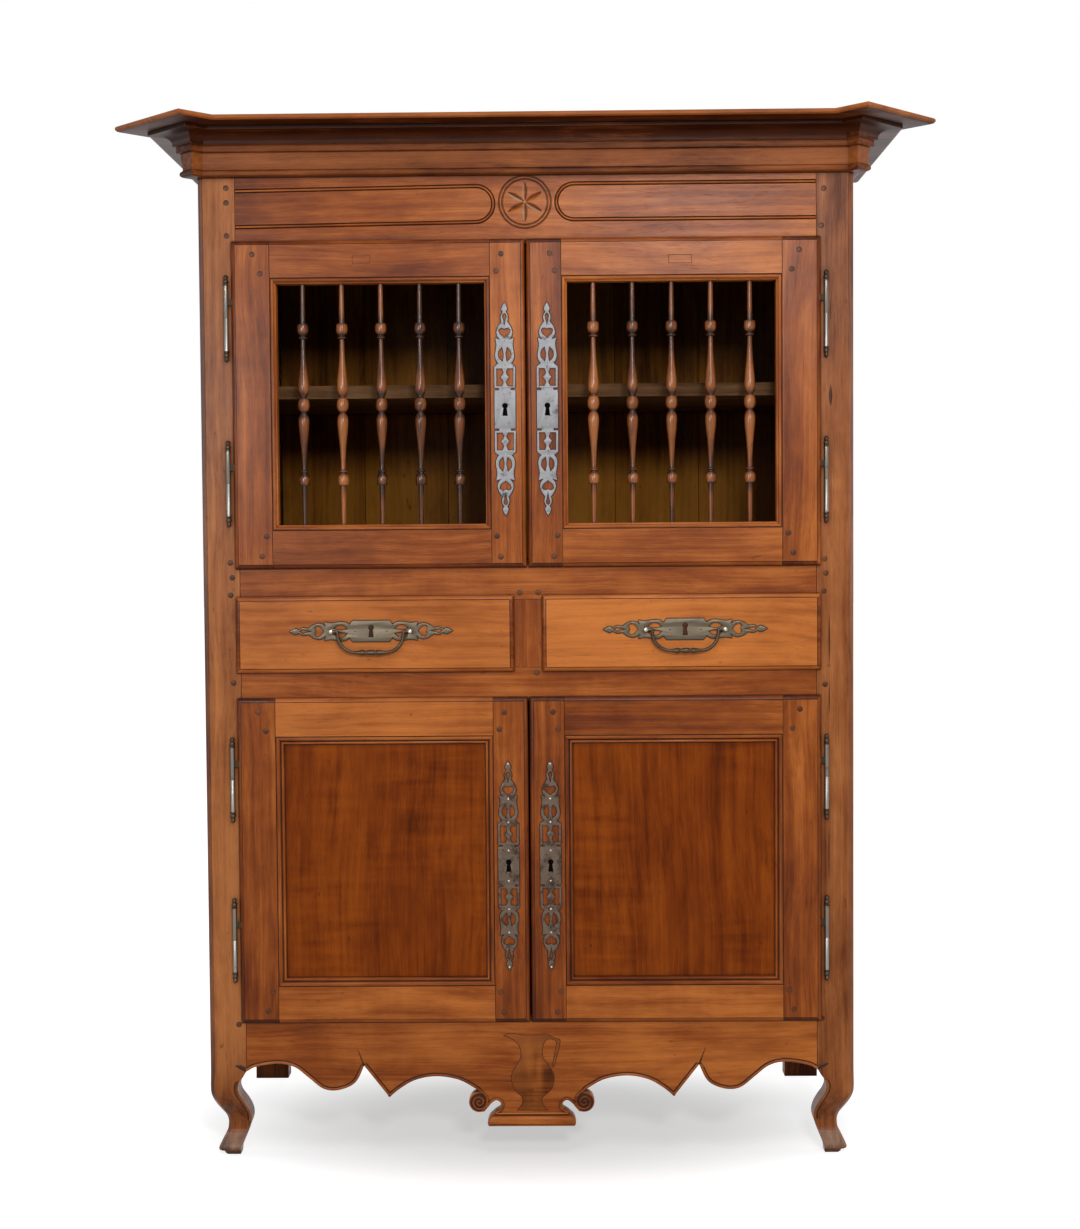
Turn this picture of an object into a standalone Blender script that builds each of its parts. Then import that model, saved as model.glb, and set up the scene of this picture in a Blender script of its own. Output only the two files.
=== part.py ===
"""Pantry cupboard: two spindle doors above, two drawers, two panelled doors below.

Metres, +Z up. The front faces -Y and +X is the viewer's right. The origin is on the floor,
under the middle of the box that holds the whole object.
"""

import math

import bmesh
import bpy
from mathutils import Matrix, Vector

# Clearances
FIT_GAP = 0.0003  # between pieces that touch
DOOR_CLEARANCE = 0.002  # round the body of a door or drawer in its opening
MEETING_GAP = 0.003  # between the two doors of a pair
BORE_CLEARANCE = 0.0004  # round a hinge pin or a handle's pin
OVERRUN = 0.030  # how far a cutter runs past what it cuts

# Carcass, across and deep
BODY_WIDTH = 1.300
BODY_DEPTH = 0.610
POST_WIDTH = 0.075
POST_DEPTH = 0.060
POST_CHAMFER = 0.011
BACK_POST_DEPTH = 0.045
RAIL_THICKNESS = 0.026
SIDE_THICKNESS = 0.026
SIDE_SET_BACK = 0.003  # from the posts' outer faces
BACK_THICKNESS = 0.016
BACK_SET_IN = 0.010
BACK_BOARDS = 6
BOARD_GROOVE = 0.004

# Carcass, heights of each storey from the floor up
APRON_TOP = 0.286
LOWER_OPENING = 0.639
RAIL_BELOW_DRAWERS = 0.067
DRAWER_OPENING = 0.136
RAIL_ABOVE_DRAWERS = 0.072
UPPER_OPENING = 0.633
FRIEZE_FACE = 0.134
CORNICE_HEIGHT = 0.090
TOP_BOARD = 0.012
MUNTIN_WIDTH = 0.072
FLOOR_THICKNESS = 0.018
SHELF_THICKNESS = 0.026
SHELF_HEIGHT = 0.362  # shelf top above the upper floor
SHELF_SET_BACK = 0.090  # shelf edge behind the front face
GUIDE_HEIGHT = 0.030
SIDE_FOOT = 0.200  # lower edge of the side frames above the floor
SIDE_RAIL = 0.085
SIDE_STILE = 0.060
SIDE_PANEL_SINK = 0.008
SIDE_PANEL_BEVEL = 0.012

# Cornice: reach out from the posts, and the canted corner blocks
TOP_REACH = 0.105
CORNER_JOG = 0.0118  # how far a corner block steps forward, at the face of the posts
CORNER_SIDE_STEP = 0.003  # the block's inner edge beyond the post's side

# Front legs
LEG_HEIGHT = 0.180

# Doors
LIP = 0.008  # overlap on the frame round the opening
LIP_PROUD = 0.012  # front face before the posts' face
LIP_EDGE = 0.004  # square edge under the lip's round
LIP_ROUND = 0.0085
LIP_STEP = 0.0015  # from the round up to the front face
DOOR_BODY = 0.018  # depth inside the opening
MEETING_RELIEF = 0.0006
HINGE_STILE = 0.076
UPPER_LOCK_STILE = 0.0685
LOWER_LOCK_STILE = 0.069
UPPER_TOP_RAIL = 0.073
UPPER_BOTTOM_RAIL = 0.075
LOWER_TOP_RAIL = 0.076
LOWER_BOTTOM_RAIL = 0.074
UPPER_MOULDING = 0.012
UPPER_MOULDING_DEPTH = 0.012
LOWER_MOULDING = 0.017
MOULDING_STEP = 0.0015
PANEL_SINK = 0.012  # panel face behind the door's front face
PANEL_COVER = 0.004  # thickness of the moulding's edge over the panel
PANEL_THICKNESS = 0.010
PANEL_TONGUE = 0.007  # panel edge held in the frame's groove

# Spindles
SPINDLES = 5
SPINDLE_PITCH = 0.0776
SPINDLE_ROD = 0.0050  # radius of the plain ends
SPINDLE_TENON = 0.010
SPINDLE_SET_BACK = 0.006  # middle of the spindles behind the posts' face

# Hinges
HINGE_OUTSET = 0.011  # axis beyond the door's outer edge
BARREL_RADIUS = 0.005
PIN_RADIUS = 0.0027
HINGE_LENGTH = 0.172
FINIAL = 0.022
FINIAL_COLLAR = 0.0062  # radius of the collar between barrel and finial
LEAF_THICKNESS = 0.0026
LEAF_HEIGHT = 0.036
UPPER_HINGE_INSETS = (0.170, 0.152)  # hinge middle from the door's lower and upper edge
LOWER_HINGE_INSETS = (0.168, 0.163)

# Lock plates and drawer pulls
PLATE_THICKNESS = 0.002
PLATE_HALF_WIDTH = 0.021
PLATE_WING = 0.1265  # pierced end, from its shoulder to the tip
PLATE_FRET = 0.0425  # square fretted part, from the shoulder in
PLATE_SLOT = 0.004
PLATE_SLOT_DEPTH = 0.009
PLATE_BODY = 0.038  # half the length of the plain middle
PLATE_OFFSET = 0.042  # plate's middle from the middle of the cupboard
PLATE_RISE_UPPER = -0.012  # plate's middle above the middle of its door
PLATE_RISE_LOWER = -0.010
PULL_HALF_WIDTH = 0.0368
PULL_STUD_OUT = 0.042  # stud beyond the plain middle of the plate
PULL_RISE = 0.007  # plate's middle above the middle of the drawer
PULL_OUTSET = 0.007  # plate's middle beyond the middle of the drawer
STUD_RADIUS = 0.0052
STUD_LENGTH = 0.017
BAIL_RADIUS = 0.0029
BAIL_DROP = 0.042
BAIL_INSET = 0.012  # bail's sides inside the studs
BAIL_BEND = 0.026  # radius of its lower corners
BAIL_ELBOW = 0.003  # where the side turns into the pin
BAIL_STAND_OFF = 0.011  # pivot before the plate

# Drawers
DRAWER_BODY = 0.014
DRAWER_LENGTH = 0.490
DRAWER_WALL = 0.012
DRAWER_HEAD = 0.014  # space over the drawer's sides

# Values that follow from the sizes above
SIDES = {"left": -1, "right": 1}
HALF_BODY = BODY_WIDTH / 2
HALF_OPENING = HALF_BODY - POST_WIDTH
Z_LOWER = APRON_TOP
Z_LOWER_TOP = Z_LOWER + LOWER_OPENING
Z_DRAWER = Z_LOWER_TOP + RAIL_BELOW_DRAWERS
Z_DRAWER_TOP = Z_DRAWER + DRAWER_OPENING
Z_UPPER = Z_DRAWER_TOP + RAIL_ABOVE_DRAWERS
Z_UPPER_TOP = Z_UPPER + UPPER_OPENING
Z_CORNICE = Z_UPPER_TOP + FRIEZE_FACE
Z_TOP_BOARD = Z_CORNICE + CORNICE_HEIGHT
CARCASS_TOP = Z_TOP_BOARD - FIT_GAP
CORNER_REACH = CORNER_JOG + math.sqrt(2) * TOP_REACH
FRONT = CORNER_REACH - (BODY_DEPTH + CORNER_REACH) / 2
BACK = FRONT + BODY_DEPTH
BACK_FACE = BACK - BACK_SET_IN - BACK_THICKNESS
INSIDE_FRONT = FRONT + RAIL_THICKNESS + FIT_GAP
INSIDE_BACK = BACK_FACE - FIT_GAP
SIDE_FACE = HALF_BODY - SIDE_SET_BACK
SIDE_INSIDE = SIDE_FACE - SIDE_THICKNESS - FIT_GAP
DOOR_FACE = FRONT - LIP_PROUD
DOOR_EDGE = HALF_OPENING + LIP
DOOR_MEETING = MEETING_GAP / 2
HINGE_X = DOOR_EDGE + HINGE_OUTSET
HINGE_Y = FRONT - FIT_GAP - FINIAL_COLLAR
PULL_STUD_X = PULL_HALF_WIDTH + PULL_STUD_OUT
BAIL_Y = DOOR_FACE - FIT_GAP - PLATE_THICKNESS - BAIL_STAND_OFF
DRAWER_MIDDLE = (MUNTIN_WIDTH / 2 + HALF_OPENING) / 2
PULL_X = DRAWER_MIDDLE + PULL_OUTSET
PULL_Z = (Z_DRAWER + Z_DRAWER_TOP) / 2 + PULL_RISE

for old in list(bpy.data.objects):
    bpy.data.objects.remove(old)

PARTS = bpy.data.collections.new("pantry_cupboard")
CUTTERS = bpy.data.collections.new("pantry_cupboard_cutters")
bpy.context.scene.collection.children.link(PARTS)
bpy.context.scene.collection.children.link(CUTTERS)


def finish(name, colour, roughness, metallic=0.0):
    material = bpy.data.materials.new(name)
    material.use_nodes = True
    shader = material.node_tree.nodes["Principled BSDF"]
    shader.inputs["Base Color"].default_value = (*colour, 1.0)
    shader.inputs["Roughness"].default_value = roughness
    shader.inputs["Metallic"].default_value = metallic
    return material


CHERRY = finish("cherry_wood", (0.33, 0.13, 0.045), 0.38)
PANEL_WOOD = finish("panel_wood", (0.20, 0.062, 0.018), 0.36)
DARK_WOOD = finish("dark_wood", (0.13, 0.048, 0.02), 0.45)
INSIDE_WOOD = finish("inside_wood", (0.10, 0.055, 0.022), 0.7)
IRON = finish("wrought_iron", (0.17, 0.155, 0.135), 0.42, 1.0)
PEWTER = finish("bright_iron", (0.36, 0.35, 0.33), 0.38, 1.0)


# Modelling tools


def as_object(name, mesh, material=None, collection=PARTS):
    obj = bpy.data.objects.new(name, mesh)
    collection.objects.link(obj)
    if material:
        mesh.materials.clear()
        mesh.materials.append(material)
    if collection is CUTTERS:
        obj.hide_render = True
        obj.display_type = "WIRE"
    return obj


def from_bmesh(name, bm, material=None, collection=PARTS):
    bmesh.ops.recalc_face_normals(bm, faces=bm.faces)
    mesh = bpy.data.meshes.new(name)
    bm.to_mesh(mesh)
    bm.free()
    return as_object(name, mesh, material, collection)


def block(name, low, high, material=None, collection=PARTS):
    """A box between two corners."""
    bm = bmesh.new()
    bmesh.ops.create_cube(bm, size=1.0)
    low, high = Vector(low), Vector(high)
    bmesh.ops.scale(bm, vec=high - low, verts=bm.verts)
    bmesh.ops.translate(bm, vec=(low + high) / 2, verts=bm.verts)
    return from_bmesh(name, bm, material, collection)


def loft(name, rings, material=None, closed=False, collection=PARTS):
    """Skin through rings of points. A closed loft runs back into its first ring."""
    bm = bmesh.new()
    rows = [[bm.verts.new(point) for point in ring] for ring in rings]
    count = len(rows[0])
    following = rows[1:] + ([rows[0]] if closed else [])
    for row, after in zip(rows, following):
        for i in range(count):
            j = (i + 1) % count
            bm.faces.new((row[i], row[j], after[j], after[i]))
    if not closed:
        bm.faces.new(rows[0])
        bm.faces.new(rows[-1])
    return from_bmesh(name, bm, material, collection)


def flat_outline(name, splines, thickness, steps, material=None, collection=PARTS):
    """A plate cut to outlines of (x, z, kind) points; the later ones are holes.

    The kind of a point is "corner" or "smooth". The plate faces -Y, its middle plane on y = 0.
    """
    curve = bpy.data.curves.new(name, "CURVE")
    curve.dimensions = "2D"
    curve.fill_mode = "BOTH"
    curve.extrude = thickness / 2
    curve.resolution_u = steps
    for points in splines:
        spline = curve.splines.new("BEZIER")
        spline.bezier_points.add(len(points) - 1)
        spline.use_cyclic_u = True
        for knot, (x, z, kind) in zip(spline.bezier_points, points):
            handle = "VECTOR" if kind == "corner" else "AUTO"
            knot.handle_left_type = handle
            knot.handle_right_type = handle
            knot.co = (x, z, 0)
    return curve_solid(name, curve, Matrix.Rotation(math.pi / 2, 4, "X"), material, collection)


def tube(name, points, radius, material=None, sides=2, swell=None, collection=PARTS):
    """A round bar through points; swell gives its thickness at each point, times the radius."""
    curve = bpy.data.curves.new(name, "CURVE")
    curve.dimensions = "3D"
    curve.bevel_depth = radius
    curve.bevel_resolution = sides
    curve.use_fill_caps = True
    spline = curve.splines.new("POLY")
    spline.points.add(len(points) - 1)
    for i, point in enumerate(points):
        spline.points[i].co = (*point, 1)
        spline.points[i].radius = swell[i] if swell else 1.0
    return curve_solid(name, curve, Matrix.Identity(4), material, collection)


def curve_solid(name, curve, turn, material, collection):
    """The curve as one closed mesh, turned into place."""
    guide = bpy.data.objects.new(name + "_guide", curve)
    bpy.context.scene.collection.objects.link(guide)
    bpy.context.view_layer.update()
    graph = bpy.context.evaluated_depsgraph_get()
    mesh = bpy.data.meshes.new_from_object(guide.evaluated_get(graph))
    bpy.data.objects.remove(guide)
    bm = bmesh.new()
    bm.from_mesh(mesh)
    bpy.data.meshes.remove(mesh)
    bmesh.ops.transform(bm, matrix=turn, verts=bm.verts)
    bmesh.ops.remove_doubles(bm, verts=bm.verts, dist=0.00001)
    return from_bmesh(name, bm, material, collection)


def turned(name, profile, steps, material=None, collection=PARTS):
    """A shape turned on Z from (radius, height) points, listed from the top down."""
    mesh = bpy.data.meshes.new(name)
    points = [(radius, 0, height) for radius, height in profile]
    mesh.from_pydata(points, [(i, i + 1) for i in range(len(points) - 1)], [])
    obj = as_object(name, mesh, material, collection)
    screw = obj.modifiers.new("turning", "SCREW")
    screw.steps = steps
    screw.render_steps = steps
    screw.use_merge_vertices = True
    screw.merge_threshold = 0.00001
    return obj


def combine(obj, other, operation):
    modifier = obj.modifiers.new(f"{operation.lower()} {other.name}", "BOOLEAN")
    modifier.operation = operation
    modifier.object = other


def carry(obj, empty):
    """Parents a piece that is modelled in place to the empty of its moving body."""
    obj.parent = empty
    obj.matrix_parent_inverse = Matrix.Translation(-empty.location)


def pivot(name, location):
    empty = bpy.data.objects.new(name, None)
    empty.location = location
    PARTS.objects.link(empty)
    return empty


def arc(centre, radius, start, end, count):
    """Points on a circle in a plane, angles in degrees, both ends included."""
    points = []
    for i in range(count + 1):
        angle = math.radians(start + (end - start) * i / count)
        points.append((centre[0] + radius * math.cos(angle), centre[1] + radius * math.sin(angle)))
    return points


def rectangle(side, x0, x1, z0, z1, y):
    """Four corners of an upright rectangle; x is measured out from the middle of the cupboard."""
    return [(side * x, y, z) for x, z in ((x0, z0), (x1, z0), (x1, z1), (x0, z1))]


# Posts and legs

LEG_STATIONS = (  # height, lean under the cupboard, width
    (LEG_HEIGHT, 0.0000, POST_WIDTH),
    (0.166, 0.0000, 0.0672),
    (0.156, 0.0000, 0.0595),
    (0.143, 0.0000, 0.0560),
    (0.129, 0.0012, 0.0586),
    (0.112, 0.0075, 0.0613),
    (0.096, 0.0170, 0.0585),
    (0.081, 0.0262, 0.0525),
    (0.068, 0.0302, 0.0478),
    (0.054, 0.0298, 0.0434),
    (0.045, 0.0267, 0.0437),
    (0.031, 0.0195, 0.0450),
    (0.017, 0.0132, 0.0458),
    (0.011, 0.0138, 0.0440),
    (0.009, 0.0210, 0.0365),
    (0.000, 0.0262, 0.0300),
)


def post_ring(side, height, lean, width, depth, chamfer):
    """Section of a front post: a rectangle with its outer front corner taken off."""
    outer = HALF_BODY - lean
    inner = outer - width
    front = FRONT + lean
    back = front + depth
    plan = (
        (inner, front),
        (outer - chamfer, front),
        (outer, front + chamfer),
        (outer, back),
        (inner, back),
    )
    return [(side * x, y, height) for x, y in plan]


def front_post(word, side):
    rings = [post_ring(side, CARCASS_TOP, 0.0, POST_WIDTH, POST_DEPTH, POST_CHAMFER)]
    for height, lean, width in LEG_STATIONS:
        depth = POST_DEPTH * width / POST_WIDTH
        chamfer = POST_CHAMFER * width / POST_WIDTH
        rings.append(post_ring(side, height, lean, width, depth, chamfer))
    loft(f"front_post_{word}", rings, CHERRY)


def back_post(word, side):
    outer = side * HALF_BODY
    inner = side * HALF_OPENING
    low = (min(inner, outer), BACK - BACK_POST_DEPTH, 0)
    high = (max(inner, outer), BACK, CARCASS_TOP)
    block(f"back_post_{word}", low, high, DARK_WOOD)


# Front rails

RAIL_REACH = HALF_OPENING - FIT_GAP


def front_rail(name, z0, z1, material=CHERRY):
    low = (-RAIL_REACH, FRONT, z0)
    high = (RAIL_REACH, FRONT + RAIL_THICKNESS, z1)
    return block(name, low, high, material)


CARTOUCHE_RISE = 0.081  # middle of the carving over the doors' opening
CARTOUCHE_Z = Z_UPPER_TOP + CARTOUCHE_RISE
CARTOUCHE_HALF = 0.0353
CARTOUCHE_END = 0.0624
CARVING_RADIUS = 0.0026
CARVING_LIFT = 0.0007
CARVING_Y = FRONT - CARVING_LIFT  # middle of the carving's round section
ROSETTE_RINGS = (0.0515, 0.0450)
PETALS = 6
PETAL_LENGTH = 0.038
PETAL_WIDTH = 0.011
PETAL_DEPTH = 0.0035


def frieze_carving():
    """Grooves of the two round-ended cartouches, the ringed rosette and its petals."""
    pieces = []
    for word, side in SIDES.items():
        bend = arc((CARTOUCHE_END + CARTOUCHE_HALF, CARTOUCHE_Z), CARTOUCHE_HALF, 90, 270, 10)
        run = [(HALF_BODY, CARTOUCHE_Z + CARTOUCHE_HALF), *bend, (HALF_BODY, CARTOUCHE_Z - CARTOUCHE_HALF)]
        path = [(side * x, CARVING_Y, z) for x, z in run]
        pieces.append(tube(f"cartouche_{word}", path, CARVING_RADIUS, sides=1, collection=CUTTERS))
    bm = bmesh.new()
    for piece in pieces:
        bm.from_mesh(piece.data)
        bpy.data.objects.remove(piece)
    for radius in ROSETTE_RINGS:
        ring_groove(bm, radius, 2 * CARVING_RADIUS / 3)
    for i in range(PETALS):
        petal = bmesh.ops.create_uvsphere(bm, u_segments=6, v_segments=5, radius=0.5)["verts"]
        bmesh.ops.scale(bm, vec=(PETAL_WIDTH, 2 * PETAL_DEPTH, PETAL_LENGTH), verts=petal)
        bmesh.ops.translate(bm, vec=(0, 0, PETAL_LENGTH / 2 + CARVING_RADIUS), verts=petal)
        turn = Matrix.Rotation(2 * math.pi * i / PETALS, 4, "Y")
        place = Matrix.Translation((0, CARVING_Y, CARTOUCHE_Z))
        bmesh.ops.transform(bm, matrix=place @ turn, verts=petal)
    return from_bmesh("frieze_carving", bm, collection=CUTTERS)


def ring_groove(bm, radius, thickness):
    """A thin ring of square section, standing across the face of the frieze."""
    count = 20
    rows = []
    for i in range(count):
        angle = 2 * math.pi * i / count
        section = ((-thickness, 0), (0, -thickness), (thickness, 0), (0, thickness))
        row = []
        for out, deep in section:
            reach = radius + out
            place = (reach * math.cos(angle), CARVING_Y + deep, CARTOUCHE_Z + reach * math.sin(angle))
            row.append(bm.verts.new(place))
        rows.append(row)
    for row, after in zip(rows, rows[1:] + rows[:1]):
        for i in range(len(row)):
            j = (i + 1) % len(row)
            bm.faces.new((row[i], row[j], after[j], after[i]))


def front_frame():
    frieze = front_rail("frieze_rail", Z_UPPER_TOP, CARCASS_TOP)
    combine(frieze, frieze_carving(), "DIFFERENCE")
    front_rail("rail_above_drawers", Z_DRAWER_TOP, Z_UPPER)
    front_rail("rail_below_drawers", Z_LOWER_TOP, Z_DRAWER)
    half = MUNTIN_WIDTH / 2
    low = (-half, FRONT, Z_DRAWER + FIT_GAP)
    high = (half, FRONT + RAIL_THICKNESS, Z_DRAWER_TOP - FIT_GAP)
    block("drawer_muntin", low, high, CHERRY)


APRON_CURVE_STEPS = 2
VOLUTE_X = 0.106
VOLUTE_DROP = 0.1728  # middle of the volute below the apron's top
VOLUTE_RADIUS = 0.0206
APRON_END_DROP = 0.108
SCALLOPS = (  # share of the way from the volute to the post, drop below the apron's top, kind
    (0.956, 0.0985, "smooth"),
    (0.858, 0.0925, "smooth"),
    (0.784, 0.1000, "smooth"),
    (0.722, 0.1212, "smooth"),
    (0.660, 0.1431, "smooth"),
    (0.602, 0.1478, "smooth"),
    (0.541, 0.1404, "smooth"),
    (0.502, 0.1265, "smooth"),
    (0.471, 0.0974, "corner"),
    (0.358, 0.1616, "corner"),
    (0.306, 0.1431, "smooth"),
    (0.238, 0.1265, "smooth"),
    (0.146, 0.1195, "smooth"),
    (0.047, 0.1265, "smooth"),
    (-0.026, 0.1439, "smooth"),
)
CENTRE_FOOT = (  # out from the middle, drop below the apron's top, kind
    (0.0812, 0.1748, "smooth"),
    (0.0715, 0.1690, "smooth"),
    (0.0632, 0.1738, "smooth"),
    (0.0622, 0.1838, "smooth"),
    (0.0747, 0.1930, "corner"),
    (0.0850, 0.2030, "smooth"),
    (0.0892, 0.2150, "smooth"),
    (0.0868, 0.2210, "corner"),
)


def apron_half():
    """Lower edge of the apron from the post to the middle, as (x, z, kind)."""
    start = VOLUTE_X + VOLUTE_RADIUS
    run = RAIL_REACH - start
    scallops = [(start + share * run, APRON_TOP - drop, kind) for share, drop, kind in SCALLOPS]
    bend = arc((VOLUTE_X, APRON_TOP - VOLUTE_DROP), VOLUTE_RADIUS, 93, -150, 8)
    volute = [(x, z, "smooth") for x, z in bend]
    volute[0] = (*bend[0], "corner")
    foot = [(x, APRON_TOP - drop, kind) for x, drop, kind in CENTRE_FOOT]
    return [(RAIL_REACH, APRON_TOP - APRON_END_DROP, "corner"), *scallops, *volute, *foot]


def apron():
    half = apron_half()
    left = [(-x, z, kind) for x, z, kind in half]
    top = APRON_TOP
    outline = [(-RAIL_REACH, top, "corner"), *left, *reversed(half), (RAIL_REACH, top, "corner")]
    rail = flat_outline("apron_rail", [outline], RAIL_THICKNESS, APRON_CURVE_STEPS, CHERRY)
    rail.location.y = FRONT + RAIL_THICKNESS / 2


# Sides, back and boards


def side_frame(word, side):
    """Side of the carcass: rails, stiles and two sunk panels, made fast as one."""
    front = FRONT + POST_DEPTH + FIT_GAP
    back = BACK - BACK_POST_DEPTH - FIT_GAP
    face = side * SIDE_FACE
    inside = side * (SIDE_FACE - SIDE_THICKNESS)
    low = (min(face, inside), front, SIDE_FOOT)
    high = (max(face, inside), back, CARCASS_TOP)
    frame = block(f"side_frame_{word}", low, high, CHERRY)
    storeys = ((SIDE_FOOT + SIDE_RAIL, Z_DRAWER), (Z_DRAWER + SIDE_RAIL, Z_CORNICE - SIDE_RAIL))
    for i, (z0, z1) in enumerate(storeys):
        rings = []
        for inset, sink in ((0, -SIDE_PANEL_SINK), (0, 0), (SIDE_PANEL_BEVEL, SIDE_PANEL_SINK)):
            x = side * (SIDE_FACE - sink)
            y0, y1 = front + SIDE_STILE + inset, back - SIDE_STILE - inset
            corners = ((y0, z0 + inset), (y1, z0 + inset), (y1, z1 - inset), (y0, z1 - inset))
            rings.append([(x, y, z) for y, z in corners])
        panel = loft(f"side_panel_cut_{word}_{i}", rings, collection=CUTTERS)
        combine(frame, panel, "DIFFERENCE")


def back_boards():
    """Upright boards of the back, with an open joint between neighbours on both faces."""
    reach = HALF_OPENING - FIT_GAP
    pitch = 2 * reach / BACK_BOARDS
    half = BOARD_GROOVE / 2
    inner, outer = [(-reach, BACK_FACE)], [(-reach, BACK_FACE + BACK_THICKNESS)]
    for i in range(1, BACK_BOARDS):
        x = -reach + i * pitch
        for shift, depth in ((-half, 0), (0, half), (half, 0)):
            inner.append((x + shift, BACK_FACE + depth))
            outer.append((x + shift, BACK_FACE + BACK_THICKNESS - depth))
    inner.append((reach, BACK_FACE))
    outer.append((reach, BACK_FACE + BACK_THICKNESS))
    plan = inner + outer[::-1]
    rings = [[(x, y, z) for x, y in plan] for z in (SIDE_FOOT, CARCASS_TOP)]
    loft("back_boards", rings, INSIDE_WOOD)


def inner_board(name, top, thickness, front):
    low = (-SIDE_INSIDE, front, top - thickness)
    high = (SIDE_INSIDE, INSIDE_BACK, top)
    return block(name, low, high, INSIDE_WOOD)


def post_notches(board, z0, z1):
    """Notches that let a board reach the sides between the posts."""
    bm = bmesh.new()
    for side in SIDES.values():
        spans = (
            (FRONT - OVERRUN, FRONT + POST_DEPTH + FIT_GAP),
            (BACK - BACK_POST_DEPTH - FIT_GAP, BACK + OVERRUN),
        )
        for y0, y1 in spans:
            verts = bmesh.ops.create_cube(bm, size=1.0)["verts"]
            x0, x1 = HALF_OPENING - FIT_GAP, HALF_BODY + OVERRUN
            bmesh.ops.scale(bm, vec=(x1 - x0, y1 - y0, z1 - z0 + 2 * OVERRUN), verts=verts)
            centre = (side * (x0 + x1) / 2, (y0 + y1) / 2, (z0 + z1) / 2)
            bmesh.ops.translate(bm, vec=centre, verts=verts)
    cutter = from_bmesh(f"{board.name}_notches", bm, collection=CUTTERS)
    combine(board, cutter, "DIFFERENCE")


def boards():
    levels = (
        ("lower_floor", Z_LOWER, FLOOR_THICKNESS, INSIDE_FRONT),
        ("upper_floor", Z_UPPER, FLOOR_THICKNESS, INSIDE_FRONT),
        ("upper_shelf", Z_UPPER + SHELF_HEIGHT, SHELF_THICKNESS, FRONT + SHELF_SET_BACK),
    )
    for name, top, thickness, front in levels:
        board = inner_board(name, top, thickness, front)
        post_notches(board, top - thickness, top)


def drawer_bed():
    """Board that the drawers run on, with a guide between them and one at each side."""
    base = Z_DRAWER - FLOOR_THICKNESS
    rise = Z_DRAWER + GUIDE_HEIGHT
    middle = MUNTIN_WIDTH / 2
    half = [(middle, rise), (middle, Z_DRAWER), (HALF_OPENING, Z_DRAWER), (HALF_OPENING, rise)]
    right = [*half, (SIDE_INSIDE, rise), (SIDE_INSIDE, base)]
    left = [(-x, z) for x, z in reversed(right)]
    rings = [[(x, y, z) for x, z in left + right] for y in (INSIDE_FRONT, INSIDE_BACK)]
    bed = loft("drawer_bed", rings, INSIDE_WOOD)
    post_notches(bed, base, rise)


# Cornice

CORNICE_PROFILE = (  # reach out from the posts, height over the cornice's foot
    (0.0100, 0.000),
    (0.0145, 0.004),
    (0.0150, 0.009),
    (0.0105, 0.0135),
    (0.0105, 0.017),
    (0.0135, 0.046),
    (0.0195, 0.048),
    (0.0195, 0.059),
    (0.0245, 0.061),
)
COVE_START = (0.0245, 0.064)
COVE_END = (0.0505, 0.083)
COVE_STEPS = 4
CORNICE_FILLET = 0.059


def cornice_plan(reach):
    """Plan of the cornice at a reach from the posts: right half, from the front round to the back."""
    out = math.sqrt(2) * reach
    draw_in = (math.sqrt(2) - 1) * reach
    corner = HALF_BODY + CORNER_SIDE_STEP
    return [
        (corner - CORNER_JOG - draw_in, FRONT - reach),
        (corner, FRONT - CORNER_JOG - out),
        (HALF_BODY + CORNER_JOG + out, FRONT - CORNER_SIDE_STEP),
        (HALF_BODY + reach, FRONT + CORNER_JOG - CORNER_SIDE_STEP + draw_in),
        (HALF_BODY + reach, BACK),
    ]


def cornice_seat():
    """Plan of the cornice's hidden face, which lies on the posts and round their chamfers."""
    edge = HALF_BODY + FIT_GAP
    front = FRONT - FIT_GAP
    shy = 2 * POST_CHAMFER
    return [
        (edge - shy, front),
        (edge - POST_CHAMFER, front),
        (edge, front + POST_CHAMFER),
        (edge, front + shy),
        (edge, BACK),
    ]


def whole_plan(half):
    return [(-x, y) for x, y in reversed(half)] + list(half)


def cornice():
    cove = []
    for i in range(COVE_STEPS + 1):
        angle = math.pi / 2 * i / COVE_STEPS
        reach = COVE_END[0] - (COVE_END[0] - COVE_START[0]) * math.cos(angle)
        height = COVE_START[1] + (COVE_END[1] - COVE_START[1]) * math.sin(angle)
        cove.append((reach, height))
    profile = [*CORNICE_PROFILE, *cove, (CORNICE_FILLET, COVE_END[1]), (CORNICE_FILLET, CORNICE_HEIGHT)]
    layers = [(cornice_seat(), 0.0)]
    layers += [(cornice_plan(reach), height) for reach, height in profile]
    layers += [(cornice_seat(), CORNICE_HEIGHT)]
    rows = [[(x, y, Z_CORNICE + z) for x, y in whole_plan(plan)] for plan, z in layers]
    sections = [[row[i] for row in rows] for i in range(len(rows[0]))]
    moulding = loft("cornice_moulding", sections, DARK_WOOD)
    moulding.location.z = -FIT_GAP
    plan = whole_plan(cornice_plan(TOP_REACH))
    board = [[(x, y, z) for x, y in plan] for z in (Z_TOP_BOARD, Z_TOP_BOARD + TOP_BOARD)]
    loft("cornice_top_board", board, DARK_WOOD)


# Doors


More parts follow.
